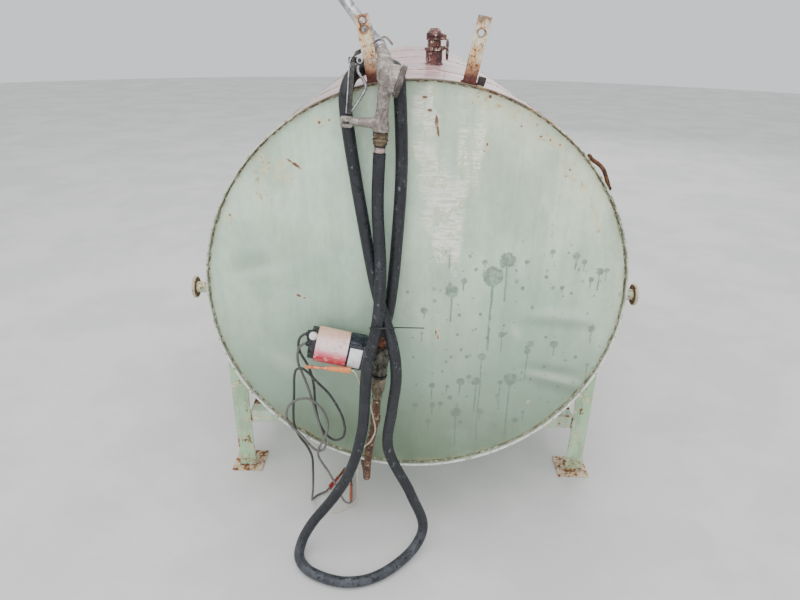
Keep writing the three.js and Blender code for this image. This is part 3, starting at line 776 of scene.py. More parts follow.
def shell_look():
    """Weathered shell: lilac-pink and rust-tinted on top, sage lower down, cream and rust at its lips, with a
    painted highlight along the lips that is whitest at the bottom
    """
    look = Look("shell_paint", 0.4, coat=0.25)
    x, y, z = look.axes()
    top = look.step(look.plus(z, look.both(look.wobble(7), 0.04)), 1.12, 1.38)
    sage = look.mix(look.cover(0.5, 6, soft=1.5), (136, 158, 138), (170, 188, 170))
    runs = look.cover(0.3, 26, (0.4, 1.4, 0.06), 0.65, soft=0.8)
    sage = look.mix(look.both(runs, 0.5), sage, (128, 136, 116))
    chalk = look.mix(look.cover(0.5, 12, (1, 2.2, 1), 0.6, 5, 1.2), (222, 172, 172), (240, 208, 208))
    wash = look.cover(0.35, 9, (0.5, 4.0, 0.5), 0.68, 11, 0.9)
    chalk = look.mix(look.both(wash, 0.75), chalk, (176, 122, 128))
    look.color(look.mix(top, sage, chalk))
    streak = look.cover(0.16, 44, (0.12, 3.0, 0.12), 0.6, 3, 0.8)
    look.coat((140, 96, 84), streak, look.level(top, 0.2, 0.6))
    seams = look.either(*[look.band(y, at(0, s - 5, 0).y, at(0, s + 5, 0).y, 0.004) for s in SEAMS])
    rough = look.cover(0.75, 60, rough=0.75)
    look.coat((108, 62, 52), seams, rough, 0.9)
    inside = look.step(look.from_axis(), (RADIUS - 2.2) * MM, (RADIUS - 3.2) * MM)
    far = look.size_of(look.minus(y, at(0, LENGTH / 2, 0).y))
    far = look.plus(far, look.both(look.wobble(34), 0.0012))
    at_end = look.step(far, (LENGTH / 2 - 7) * MM, (LENGTH / 2 - 3) * MM)
    # The lip's end: partly cream paint, and partly a painted highlight along its edge
    look.coat((222, 222, 200), at_end, look.cover(0.85, 30, rough=0.7, shift=14), 0.9)
    # Whiter towards the bottom of the lip: a painted highlight where the lip's face turns up to the light
    look.coat((250, 250, 244), at_end, look.step(z, 0.95, 0.6), 0.85)
    crown = look.step(look.minus(z, look.both(look.size_of(x), 0.25)), 1.16, 1.22)
    look.coat((92, 68, 50), at_end, crown, 0.85)
    amber = look.both(at_end, look.step(look.minus(z, look.both(x, 0.3)), 0.9, 1.1))
    amber = look.both(amber, look.band(x, 0.12, 0.42, 0.02), look.cover(0.3, 24, rough=0.7, shift=31))
    look.coat((196, 150, 88), amber, 0.7)
    flecks = look.both(at_end, look.cover(0.05, 90, rough=0.78, shift=7, soft=0.3))
    look.coat((116, 80, 52), flecks, 0.8)
    grooves = look.both(look.cover(0.4, 26, rough=0.7, shift=2), look.level(look.step(z, 0.6, 0.95), 0.35, 1))
    look.coat((98, 74, 54), inside, grooves, 0.6)
    chips = look.both(look.cover(0.03, 30, (1, 1.5, 1), 0.75, 21, 0.3),
                      look.cover(0.3, 5, soft=0.8, shift=19))
    look.coat((118, 72, 48), chips, 0.9)
    look.roughness(look.level(look.either(chips, inside, look.both(rough, seams)), 0.32, 0.85))
    look.bump(look.minus(look.both(flecks, 0.5), chips), 0.0006)
    look.bump(look.noise(10, 4, (1, 1.6, 1)), 0.003)
    look.bump(look.noise(220, 4), 0.0002)
    return look


# Pieces
SEAMS = (245, 870, 1440)
SHELL_SIDES = 192
HEAD_SIDES = 180
HEAD_RINGS = 56
# Creases of the front head: both ends as x, z, then half width and height
CREASES = [
    ((300, 760), (470, 741), 20, 4.5), ((318, 588), (455, 570), 15, -4),
    ((322, 545), (476, 494), 17, -4.5), ((330, 566), (462, 534), 13, 3),
    ((499, 735), (492, 660), 14, -3), ((262, 712), (284, 676), 16, 2.5),
    ((-470, 870), (-330, 850), 24, 3.5), ((-390, 610), (-260, 500), 30, 4),
]
LUG_ANGLE = 11.2
PUMP_MIDDLE = (-220.5, -38, 669.5)
PUMP_TILT = math.radians(12.5)


def along_pump(distance, front=0.0, up=0.0):
    """A point along the pump's axis, moved towards the front and up across it, in millimetres"""
    x, y, z = PUMP_MIDDLE
    x += distance * math.cos(PUMP_TILT) + up * math.sin(PUMP_TILT)
    z += up * math.cos(PUMP_TILT) - distance * math.sin(PUMP_TILT)
    return at(x, y - front, z)


def make_shell():
    bm = bmesh.new()
    stations = [0, 1.2, 4, 8, 14, *range(50, 2000, 50)]
    for seam in SEAMS:
        stations = [y for y in stations if abs(y - seam) > 12] + [seam + d for d in (-8, -4, -2, 0, 2, 4, 8)]
    stations = sorted(set(stations + [1986, 1992, 1996, 1998.8, 2000]))

    def ring(y, radius, bead=0.0):
        row = []
        for angle in turns_of(SHELL_SIDES):
            spot = Vector((math.sin(angle) * 2.2, math.cos(angle) * 2.2, y / 420))
            dent = 2.2 * noise.noise(spot) + 0.9 * noise.noise(spot * 3.1)
            dent *= min(1, 0.35 + min(y, 2000 - y) / 300)
            lump = bead * (1 + 0.5 * noise.noise(spot * 26))
            reach = radius + dent + lump
            row.append(bm.verts.new(at(math.sin(angle) * reach, y, AXIS + math.cos(angle) * reach)))
        return row

    rings = []
    for y in stations:
        seam = min(abs(y - s) for s in SEAMS)
        bead = {0: 2.2, 2: 1.9, 4: 1.0}.get(seam, 0.0)
        ease = 1.2 if y in (0, 2000) else 0.0
        rings.append(ring(y, RADIUS - 0.4 - ease, bead))
    for y in (2000, 1998.8, 1980, 1500, 1000, 500, 20, 1.2, 0):
        ease = -1.2 if y in (0, 2000) else 0.0
        rings.append(ring(y, RADIUS - WALL - 0.4 - ease))
    hoop(bm, rings)
    make_piece("shell_skin", bm, shell_look(), replaces=["shell"], crease=50)


def crease(x, z):
    """How far the front head stands out at a point, for its creases"""
    total = 0
    for start, end, wide, height in CREASES:
        start, run = Vector(start), Vector(end) - Vector(start)
        apart = Vector((x, z)) - start
        share = min(1, max(0, apart.dot(run) / run.dot(run)))
        total += height * math.exp(-((apart - run * share).length / wide) ** 2)
    return total


def make_heads():
    for end, rim, inward in (("front", 0, 1), ("rear", LENGTH, -1)):
        bm = bmesh.new()
        rings = []
        outer = RADIUS - WALL - 2.0
        for face in (0, 1):
            shares = [0, 0.02] + [i / HEAD_RINGS for i in range(2, HEAD_RINGS)] + [1.0]
            for share in shares if face == 0 else [1.0, 0.5, 0]:
                radius = outer * share
                row = []
                for angle in turns_of(HEAD_SIDES) if share else [0]:
                    x, z = radius * math.sin(angle), radius * math.cos(angle)
                    wave = noise.noise(Vector((x / 300, z / 300, rim / 500))) * 5.0
                    bulge = (wave + 3.0 * (1 - share ** 2)) * min(1, (1 - share) * 5)
                    bulge += crease(x, AXIS + z) if end == "front" else 0
                    depth = HEAD_INSET + (WALL if face else -bulge)
                    row.append(bm.verts.new(at(x, rim + inward * depth, AXIS + z)))
                rings.append(row)
        loft(bm, rings)
        if end == "front":
            looks = [head_look(f"front_head_paint_{i}", part) for i, part in enumerate(HEAD_PARTS)]
        else:
            looks = [head_look("rear_head_paint")]
        sheet = make_piece(f"{end}_head_sheet", bm, looks, replaces=[f"{end}_head"])
        for face in sheet.data.polygons:
            if end == "front" and face.center.x > 0:
                face.material_index = 1 if face.center.z > 780 * MM else 2

        bm = bmesh.new()
        spots = [around(i * 1.25, RADIUS - WALL - 2.4, rim + inward * (HEAD_INSET - 1)) for i in range(288)]
        rings = []
        for i, spot in enumerate(spots):
            away = (spot - at(0, rim + inward * (HEAD_INSET - 1), AXIS)).normalized()
            size = 1.9 * (1 + 0.3 * noise.noise(spot * 60) + 0.1 * math.sin(i * 2.1)) * MM
            row = []
            for k in range(8):
                angle = math.pi * k / 4
                across = away * math.cos(angle) + Vector((0, math.sin(angle), 0))
                row.append(bm.verts.new(spot + across * size))
            rings.append(row)
        hoop(bm, rings)
        look = rusted(f"{end}_weld_paint", (146, 150, 122), (112, 104, 80), flakes=0.25)
        make_piece(f"{end}_head_weld", bm, look)


def make_stand():
    mint = old_paint("mint_leg_paint", MINT, 0.02, 0.06, base=True)
    yellow_foot = old_paint("foot_paint", (214, 196, 160), 0.25, 0.3, (224, 196, 176), 1.4, 5)
    green_bar = old_paint("bar_paint", (176, 204, 176), 0.05, 0.12, shift=9)
    rail = rusted("rail_rust", (134, 88, 58), (100, 62, 44), flakes=0.03)
    pegs = peg_look()
    beads = rusted("bead_rust", (150, 118, 88), (104, 66, 46), flakes=0.3)
    for end, rim, inward in (("front", 0, 1), ("rear", LENGTH, -1)):
        face = rim + inward * 265
        for side, sign in (("left", -1), ("right", 1)):
            softened(f"{end}_{side}_leg", [f"leg_{end}_{side}"], mint)
            softened(f"{end}_{side}_foot", [f"foot_plate_{end}_{side}"], yellow_foot, 0.8)
            make_peg(end, side, sign, face + inward * 27, pegs)
            bm = bmesh.new()
            for x, z0, z1 in ((551.5, 742, 772), (551.5, 806, 838)):
                weld_bead(bm, line(at(sign * x, face + inward * 1, z0),
                                   at(sign * x, face + inward * 1, z1)), 3)
            for offset in ((0, -1), (0, 8)):
                row = [at(sign * (552 + t), face + inward * offset[1], 8.5) for t in range(0, 54, 3)]
                weld_bead(bm, row, 2.6)
            row = [at(sign * 606.5, face + inward * t, 8.5) for t in range(0, 54, 3)]
            weld_bead(bm, row, 2.6)
            make_piece(f"{end}_{side}_leg_welds", bm, beads)
        softened(f"{end}_crossbar", [f"crossbar_{end}"], green_bar)
        bm = bmesh.new()
        for sign in (-1, 1):
            weld_bead(bm, line(at(sign * 549, face - inward, 198), at(sign * 549, face - inward, 237)), 2.8)
        reach = [at(x, face + inward * 4, 241 + (x / 550) ** 2 * 0.5) for x in range(-36, 37, 3)]
        weld_bead(bm, reach, 3)
        make_piece(f"{end}_crossbar_welds", bm, beads)
    for side in ("left", "right"):
        softened(f"{side}_rail", [f"side_rail_{side}"], rail, 0.8)


def make_peg(end, side, sign, y, look):
    """A pipe stub with a rusty disc on its end, standing out from a leg"""
    bm = bmesh.new()
    turned(bm, at(sign * 605.6, y, 688), at(sign * 690, y, 688), [
        (0, 17), (74, 17), (75, 18), (75.4, 32.5), (76.6, 34), (82.6, 34), (84, 32.8), (84, 24),
        (83, 23), (82, 12), (82, 0),
    ], 48)
    circle = []
    for t in range(17):
        angle = t / 8 * math.pi
        out = Vector((0, math.cos(angle), math.sin(angle)))
        circle.append(at(sign * 607.4, y, 688) + out * 18.5 * MM)
    weld_bead(bm, circle, 2.4)
    make_piece(f"{end}_{side}_peg", bm, look, replaces=[f"peg_{end}_{side}"])


def peg_look():
    """Cream stub, and a dark rusty disc with a rubbed light rim"""
    look = Look("peg_paint", 0.6)
    x, y, z = look.axes()
    out = look.step(look.size_of(x), 0.679, 0.6805)
    along = look.minus(look.size_of(look.minus(y, at(0, LENGTH / 2, 0).y)), 0.708)
    up = look.minus(z, 688 * MM)
    reach = look.plus(look.length(along, up), look.both(look.wobble(60), 0.0012))
    stub = look.mix(look.cover(0.4, 40, soft=1.2), (210, 212, 184), (176, 184, 152))
    stub = look.mix(look.cover(0.2, 90, rough=0.75, shift=5), stub, (150, 108, 72))
    disc = look.mix(look.cover(0.5, 60, rough=0.72, shift=3, soft=0.8), (112, 72, 52), (78, 50, 40))
    disc = look.mix(look.cover(0.14, 110, rough=0.75, shift=9), disc, (160, 112, 78))
    rim = look.step(reach, 0.0296, 0.0314)
    disc = look.mix(look.both(rim, look.cover(0.85, 50, shift=12), 0.85), disc, (214, 200, 172))
    look.color(look.mix(out, stub, disc))
    look.bump(look.noise(160, 7, rough=0.72), 0.0009)
    return look


def make_lugs():
    look = lug_look()
    beads = rusted("lug_weld_rust", (120, 66, 40), (74, 40, 30))
    back = Vector((0, MM, 0))
    for side, sign in (("left", -1), ("right", 1)):
        softened(f"{side}_lug", [f"lug_front_{side}"], look, 0.9)
        turn = math.radians(sign * LUG_ANGLE)
        across = Vector((math.cos(turn), 0, -math.sin(turn)))
        foot = around(sign * LUG_ANGLE, RADIUS + 1.2, 0)
        bm = bmesh.new()
        middle = foot + back * 7.4
        weld_bead(bm, line(middle - across * 0.016, middle + across * 0.016, 2), 3.2)
        for step in (-16.4, 16.4):
            corner = foot + across * step * MM
            weld_bead(bm, line(corner + back * 2, corner + back * 8, 2), 3)
        make_piece(f"{side}_lug_welds", bm, beads)


LUG_HOLES = [(-131.7, 1455.4), (-128.3, 1437.7), (127.5, 1433.8)]


def lug_look():
    """Cream paint going to orange rust at the top, along the edges and at the foot, darkest at the very foot,
    where painted shadow lies over the rust where the lug meets the shell
    """
    look = Look("lug_paint", 0.6)
    z = look.axes()[2]
    ragged = look.both(look.wobble(55), 0.012)
    high = look.step(look.plus(z, ragged), 1440 * MM, 1478 * MM)
    low = look.step(look.plus(z, ragged), 1392 * MM, 1352 * MM)
    speck = look.cover(0.16, 110, rough=0.78, shift=3, soft=0.4)
    stain = look.cover(0.4, 38, (1, 1, 0.6), 0.7, soft=0.9)
    base = look.mix(stain, (232, 218, 190), (226, 186, 136))
    rust_tint = look.mix(look.cover(0.5, 120, soft=1), (180, 106, 54), (128, 72, 42))
    look.color(look.mix(look.both(look.either(high, low), 0.85), base, rust_tint))
    look.coat((122, 68, 40), speck, look.either(stain, high))
    # Darkest band at the very foot: rust with painted shadow over it, where the lug meets the shell
    dark = look.step(look.plus(z, look.both(ragged, 0.4)), 1362 * MM, 1340 * MM)
    look.coat((92, 42, 34), dark)
    rings = 0.0
    for hole_x, hole_z in LUG_HOLES:
        rings = look.either(rings, look.spot(at(hole_x, 0, hole_z), 0.0108, 0.0108, 0, 0.16, 90, 0.25))
    look.coat((112, 62, 38), rings, 0.8)
    worn_top = look.both(high, look.step(look.axes()[0], 0.0, 0.01), look.cover(0.7, 60, rough=0.7, shift=12))
    look.coat((150, 150, 126), worn_top, 0.7)
    look.roughness(look.level(speck, 0.5, 0.85))
    look.bump(look.minus(look.both(high, 0.4), speck), 0.0006)
    look.bump(look.noise(200, 5), 0.0004)
    return look


def make_fittings():
    cap_look = rusted("cap_rust", (118, 66, 60), (68, 32, 36), 0.6, 0.3, 0.07)
    fill = (45, 510)
    base = AXIS + math.sqrt(RADIUS ** 2 - fill[0] ** 2) + 1.5
    foot = at(*fill, base)
    head = at(*fill, base + 100)
    bm = bmesh.new()
    turned(bm, foot, head, [(-2.5, 27), (0, 29.5), (2, 28), (3.5, 25), (35, 25), (36, 24), (36, 12),
                            (30, 10)], 48)
    roughen(bm, 0.5, 90)
    make_piece("fill_pipe", bm, cap_look, replaces=["fill_socket"])
    bm = bmesh.new()
    profile = [(36.3, 27), (37.3, 29), (44, 29), (45, 28), (45.6, 19), (47, 18), (64, 18), (65, 19)]
    profile += [(65.6, 23), (66.6, 24), (68.4, 24), (69.4, 22.6), (70, 20), (75, 20), (75.6, 22), (76.6, 23)]
    profile += [(83, 23), (84.4, 22), (92, 18), (98, 11), (98, 0)]
    turned(bm, foot, head, profile, 56)
    for i in range(12):
        angle = math.radians(30 * i)
        out = Vector((math.cos(angle), math.sin(angle), 0))
        place = Matrix.Translation(foot + out * 0.0178) @ Matrix.Rotation(angle, 4, "Z")
        box(bm, Vector((-0.0015, -0.003, 0.0475)), Vector((0.0022, 0.003, 0.0635)), 0.7, place)
    place = Matrix.Translation(foot)
    for low, high in (((0.019, -0.005, 0.04), (0.037, 0.005, 0.05)),
                      ((0.019, -0.004, 0.066), (0.036, 0.004, 0.082))):
        box(bm, Vector(low), Vector(high), 1.4, place)
    for angle in (20, 200):
        out = Vector((math.cos(math.radians(angle)), math.sin(math.radians(angle)), 0))
        place = Matrix.Translation(foot + out * 0.021) @ Matrix.Rotation(math.radians(angle), 4, "Z")
        box(bm, Vector((-0.004, -0.004, 0.067)), Vector((0.004, 0.004, 0.085)), 1.2, place)
    roughen(bm, 0.7, 110)
    make_piece("fill_cap_casting", bm, cap_look, replaces=["fill_cap"])
    bm = bmesh.new()
    eye = at(fill[0] + 39.2, fill[1], base + 40)
    rings = []
    for angle in turns_of(40):
        spot = eye + Vector((0, 21 * math.cos(angle), 21 * 1.25 * math.sin(angle))) * MM
        away = (spot - eye).normalized()
        spoke = Vector((1, 0, 0))
        spokes = [away * math.cos(t) + spoke * math.sin(t) for t in turns_of(10)]
        rings.append([bm.verts.new(spot + out * 0.0034) for out in spokes])
    hoop(bm, rings)
    make_piece("cap_hoop", bm, cap_look, replaces=["fill_cap_ring"])
    plug = plastic("plug_black", (26, 25, 26), (70, 56, 50))
    softened("plug_cover", ["square_plug"], plug, 1.6)
    rod = rusted("rod_rust", (122, 80, 54), (72, 46, 36))
    bm = bmesh.new()
    points = [(47.4, 5.1), (48.6, 6), (50.4, 11.5), (52.4, 14), (54.6, 10.5), (57.4, 5.1)]
    places = [around(angle, RADIUS + height, 30) for angle, height in points]
    flat = [((p - at(0, 0, 0)) / MM) for p in places]
    tube(bm, smooth_route([(p.x, p.y, p.z) for p in flat], 1.5), 5, 14)
    for place in (places[0], places[-1]):
        turned(bm, place - Vector((0, 0.006, 0)), place + Vector((0, 0.006, 0)), chamfered(12, 5.5, 1.5), 14)
    roughen(bm, 0.4, 120)
    make_piece("rod_handle", bm, rod, replaces=["rod_loop"])


def pump_place(turn=0.0):
    """A matrix whose x runs along the pump's axis and whose z stands up across it"""
    tilted = Matrix.Translation(along_pump(0)) @ Matrix.Rotation(PUMP_TILT, 4, "Y")
    return tilted @ Matrix.Rotation(turn, 4, "X")


def wrapped_sheet(bm, start, end, low, high, radius, thick=0.5):
    """A thin curved plate on the motor, between two angles measured up from straight ahead"""
    place = pump_place()
    shells = []
    for reach in (radius + thick, radius):
        rows = []
        for i in range(25):
            angle = math.radians(low + (high - low) * i / 24)
            row = []
            for k in range(9):
                x = start + (end - start) * k / 8
                local = Vector((x, -math.cos(angle) * reach, math.sin(angle) * reach)) * MM
                row.append(bm.verts.new(place @ local))
            rows.append(row)
        shells.append(rows)
    outer, inner = shells
    for i in range(24):
        ring_a = outer[i] + inner[i][::-1]
        ring_b = outer[i + 1] + inner[i + 1][::-1]
        join_rings(bm, ring_a, ring_b)
    bm.faces.new(outer[0] + inner[0][::-1])
    bm.faces.new(outer[-1] + inner[-1][::-1])


def label_look():
    """A faded printed wrap: cream-pink above, white in the middle and red along its lower edge"""
    look = Look("label_print", 0.4)
    across = look.vector("DOT_PRODUCT", look.vector("SUBTRACT", look.place, along_pump(0)),
                         (math.sin(PUMP_TILT), 0, math.cos(PUMP_TILT)), output=1)
    height = look.plus(across, look.both(look.wobble(26), 0.0008))
    look.color(look.mix(look.step(height, -0.014, 0.001), (206, 20, 56), (238, 116, 136)))
    look.coat((252, 222, 222), look.step(height, -0.003, 0.016))
    look.coat((240, 196, 172), look.step(height, 0.03, 0.045))
    bands = look.cover(0.4, 60, (0.3, 1, 3.2), soft=1.2)
    look.coat((214, 160, 160), bands, 0.25)
    scratch = look.cover(0.06, 40, (1, 1, 1.6), 0.72, 5, 0.3)
    look.coat((250, 240, 234), scratch, 0.6)
    edge = look.cover(0.04, 90, rough=0.7, shift=2, soft=0.3)
    look.coat((150, 112, 96), edge, 0.6)
    look.roughness(look.level(scratch, 0.3, 0.55))
    look.bump(look.noise(60, 4), 0.0005)
    return look


def make_pump():
    navy = plastic("motor_enamel", (22, 27, 38), (52, 60, 74), 0.28)
    black = plastic("cover_black", (20, 21, 23), (60, 60, 62))
    white = plastic("cap_white", (232, 230, 226), (196, 192, 186), 0.35)
    brass = cast_metal("aged_bronze", (112, 102, 84), (146, 136, 116), 0.38, 0.6)
    pump_cast = cast_metal("pump_casting", (44, 42, 40), (98, 94, 84), 0.24, 0.5, dirt=0.2)
    start = along_pump(0)
    ahead = (along_pump(100) - start).normalized()
    bm = bmesh.new()
    turned(bm, start, start + ahead, [
        (-41, 44), (-40, 46), (-38.5, 46.5), (-38, 46.9), (44, 46.9), (45, 45.6), (47, 45.3), (82, 45.3),
        (82.5, 47), (83.5, 47.5), (87, 47.5), (88, 46.5),
    ], 72)
    for angle in (35, 145, 215, 325):
        place = pump_place(math.radians(angle))
        box(bm, Vector((0.046, -0.004, 0.0445)), Vector((0.0865, 0.004, 0.0478)), 0.8, place)
    make_piece("motor_barrel", bm, navy, replaces=["pump_motor"])
    bm = bmesh.new()
    wrapped_sheet(bm, -40.5, 43, -88, 112, 46.95, 0.5)
    make_piece("motor_label", bm, label_look())
    bm = bmesh.new()
    wrapped_sheet(bm, 49, 81.5, -44, 36, 45.4, 0.6)
    plate = plastic("plate_white", (255, 254, 255), (196, 194, 202), 0.35, 0.05)
    make_piece("motor_plate", bm, plate)

    bm = bmesh.new()
    turned(bm, start, start + ahead, [
        (-60, 0), (-60, 20), (-59.4, 30), (-57, 35.5), (-53, 39.5), (-48, 42), (-43, 43), (-41.3, 43),
    ], 64)
    for angle in range(0, 360, 45):
        place = pump_place(math.radians(angle + 12))
        box(bm, Vector((-0.0585, -0.0022, 0.029)), Vector((-0.043, 0.0022, 0.0432)), 0.9, place)
    box(bm, at(-284, -50, 672), at(-266, -26, 712), 2.5)
    for z, y in ((702, -34), (680, -46)):
        turned(bm, at(-279, y, z), at(-291, y, z), [
            (0, 7), (5, 7), (6, 6.4), (8, 5.6), (9, 5.0), (9, 3.8), (4, 3.7),
        ], 24)
    make_piece("terminal_cover", bm, black, replaces=["pump_end_cover"])
    bm = bmesh.new()
    cap = along_pump(-49, 24, 31)
    out = Vector((-0.3, -0.72, 0.62)).normalized()
    turned(bm, cap - out * 0.006, cap + out, [
        (0, 10.4), (10, 11), (15, 10.8), (17, 9.6), (18, 7), (18.4, 0),
    ], 40)
    make_piece("cover_cap", bm, white)

    bm = bmesh.new()
    turned(bm, start, start + ahead, [
        (88.3, 40), (89.3, 42), (103, 42), (104, 41), (104.4, 31), (106, 30), (118, 27.4),
        (119, 29.5), (124, 29.5), (125, 26), (133, 23), (134, 21),
    ], 56)
    for angle in (45, 135, 225, 315):
        place = pump_place(math.radians(angle))
        middle = place @ Vector((0.103, 0, 0.036))
        turned(bm, middle, middle + ahead, [(0, 4), (3, 4), (4, 3.2), (4, 0)], 6)
    stack = Vector(at(*down_stack(672)))
    down = (at(*down_stack(586)) - stack).normalized()
    turned(bm, stack, stack + down, [
        (0.2, 24), (1.4, 26), (14, 26), (15, 24.8), (34, 23.4), (35, 24.4), (38, 24.4), (39, 23), (60, 21.4),
        (61, 22), (74, 21.6), (78, 20), (85.9, 19.6),
    ], 44)
    for i in range(6):
        angle = math.radians(60 * i + 10)
        side = Vector((math.cos(angle), math.sin(angle), 0))
        box(bm, Vector((-0.003, -0.006, -0.034)), Vector((0.003, 0.006, 0.0)), 1.4,
            Matrix.Translation(stack + side * 0.0226 + down * 0.008) @ Matrix.Rotation(angle, 4, "Z"))
    form = baked(bm, 1.5, 3)
    roughen(form, 0.5, 120)
    make_piece("pump_casting", form, pump_cast, replaces=["pump_head"], crease=60)

    rust_pipe = rusted("pipe_rust", (140, 84, 56), (84, 48, 36), 0.7, 0.1)
    bm = bmesh.new()
    top = at(*down_stack(705))
    turned(bm, top, top + down, chamfered(32.6, 12, 1.2), 6)
    turned(bm, top, top + down, [(8, 11), (9, 13.4), (13, 13.4), (14, 11)], 32)
    make_piece("hex_nipple", bm, rust_pipe, replaces=["outlet_nipple"])
    bm = bmesh.new()
    seal = at(*down_stack(586))
    turned(bm, seal, seal + down, [(0.4, 20), (1, 21.5), (3, 22), (5.5, 22), (7.4, 21.2), (7.9, 20)], 48)
    make_piece("seal_band", bm, plastic("seal_black", (24, 22, 24), (64, 56, 54)),
               replaces=["seal_ring"])
    bm = bmesh.new()
    turned(bm, at(*down_stack(578)), at(*down_stack(508)), [
        (0.4, 19.5), (1.4, 20.8), (24.4, 20.8), (26, 19.4),
    ], 6)
    turned(bm, at(*down_stack(578)), at(*down_stack(508)), [
        (25, 18.5), (27, 19.2), (38, 18.6), (48, 16), (56, 13.6), (60, 14.6), (68, 14.4), (69.8, 13),
    ], 44)
    form = baked(bm, 1.3, 2)
    roughen(form, 0.4, 120)
    make_piece("reducer", form, brass, replaces=["hex_reducer"], crease=60)
    make_suction(rusted("suction_rust", (124, 90, 68), (90, 62, 48), 0.7, flakes=0.03))


def make_suction(look):
    route = [
        down_stack(507.7), down_stack(490), down_stack(430), (-125, -38, 330),
        (-131, -36, 255), (-134, -20, 214), (-138, 25, 196), (-148, 75, 190),
    ]
    drain = [around(193.9, radius, 120) for radius in (620, 595, 576.3)]
    route += [tuple((p - at(0, 0, 0)) / MM) for p in drain]
    bm = bmesh.new()
    points = smooth_route(route, 5)
    tube(bm, points, lambda share: 11 if share > 0.012 else 10.4, 20)
    for place, after in ((points[12], points[18]), (points[-12], points[-5])):
        turned(bm, place, after, chamfered(26, 13.6, 1.2), 8)
    roughen(bm, 0.5, 70)
    make_piece("drain_pipe", bm, look, replaces=["suction_pipe"])
    bm = bmesh.new()
    top, low = around(193.9, RADIUS + 0.4, 120), around(193.9, 576, 120)
    turned(bm, top, low, [(0, 23), (3, 21.5), (4, 19), (5, 20), (24, 20), (25.4, 18.6)], 8)
    roughen(bm, 0.3, 90)
    make_piece("drain_boss", bm, look, replaces=["drain_socket"])


def guard_strip(bm, points, width, thick, edge=0.0):
    """A flat strip bent along the points, its width along the tank"""
    rings = []
    for i, point in enumerate(points):
        ahead = (points[min(i + 1, len(points) - 1)] - points[max(i - 1, 0)]).normalized()
        across = Vector((1, 0, 0)).cross(ahead).normalized()
        normal = ahead.cross(across)
        w, t = width / 2 * MM, thick / 2 * MM
        corners = [(-w, -t), (w, -t), (w, t), (-w, t)]
        rings.append([bm.verts.new(point + across * (a + edge * MM) + normal * b) for a, b in corners])
    loft(bm, rings)


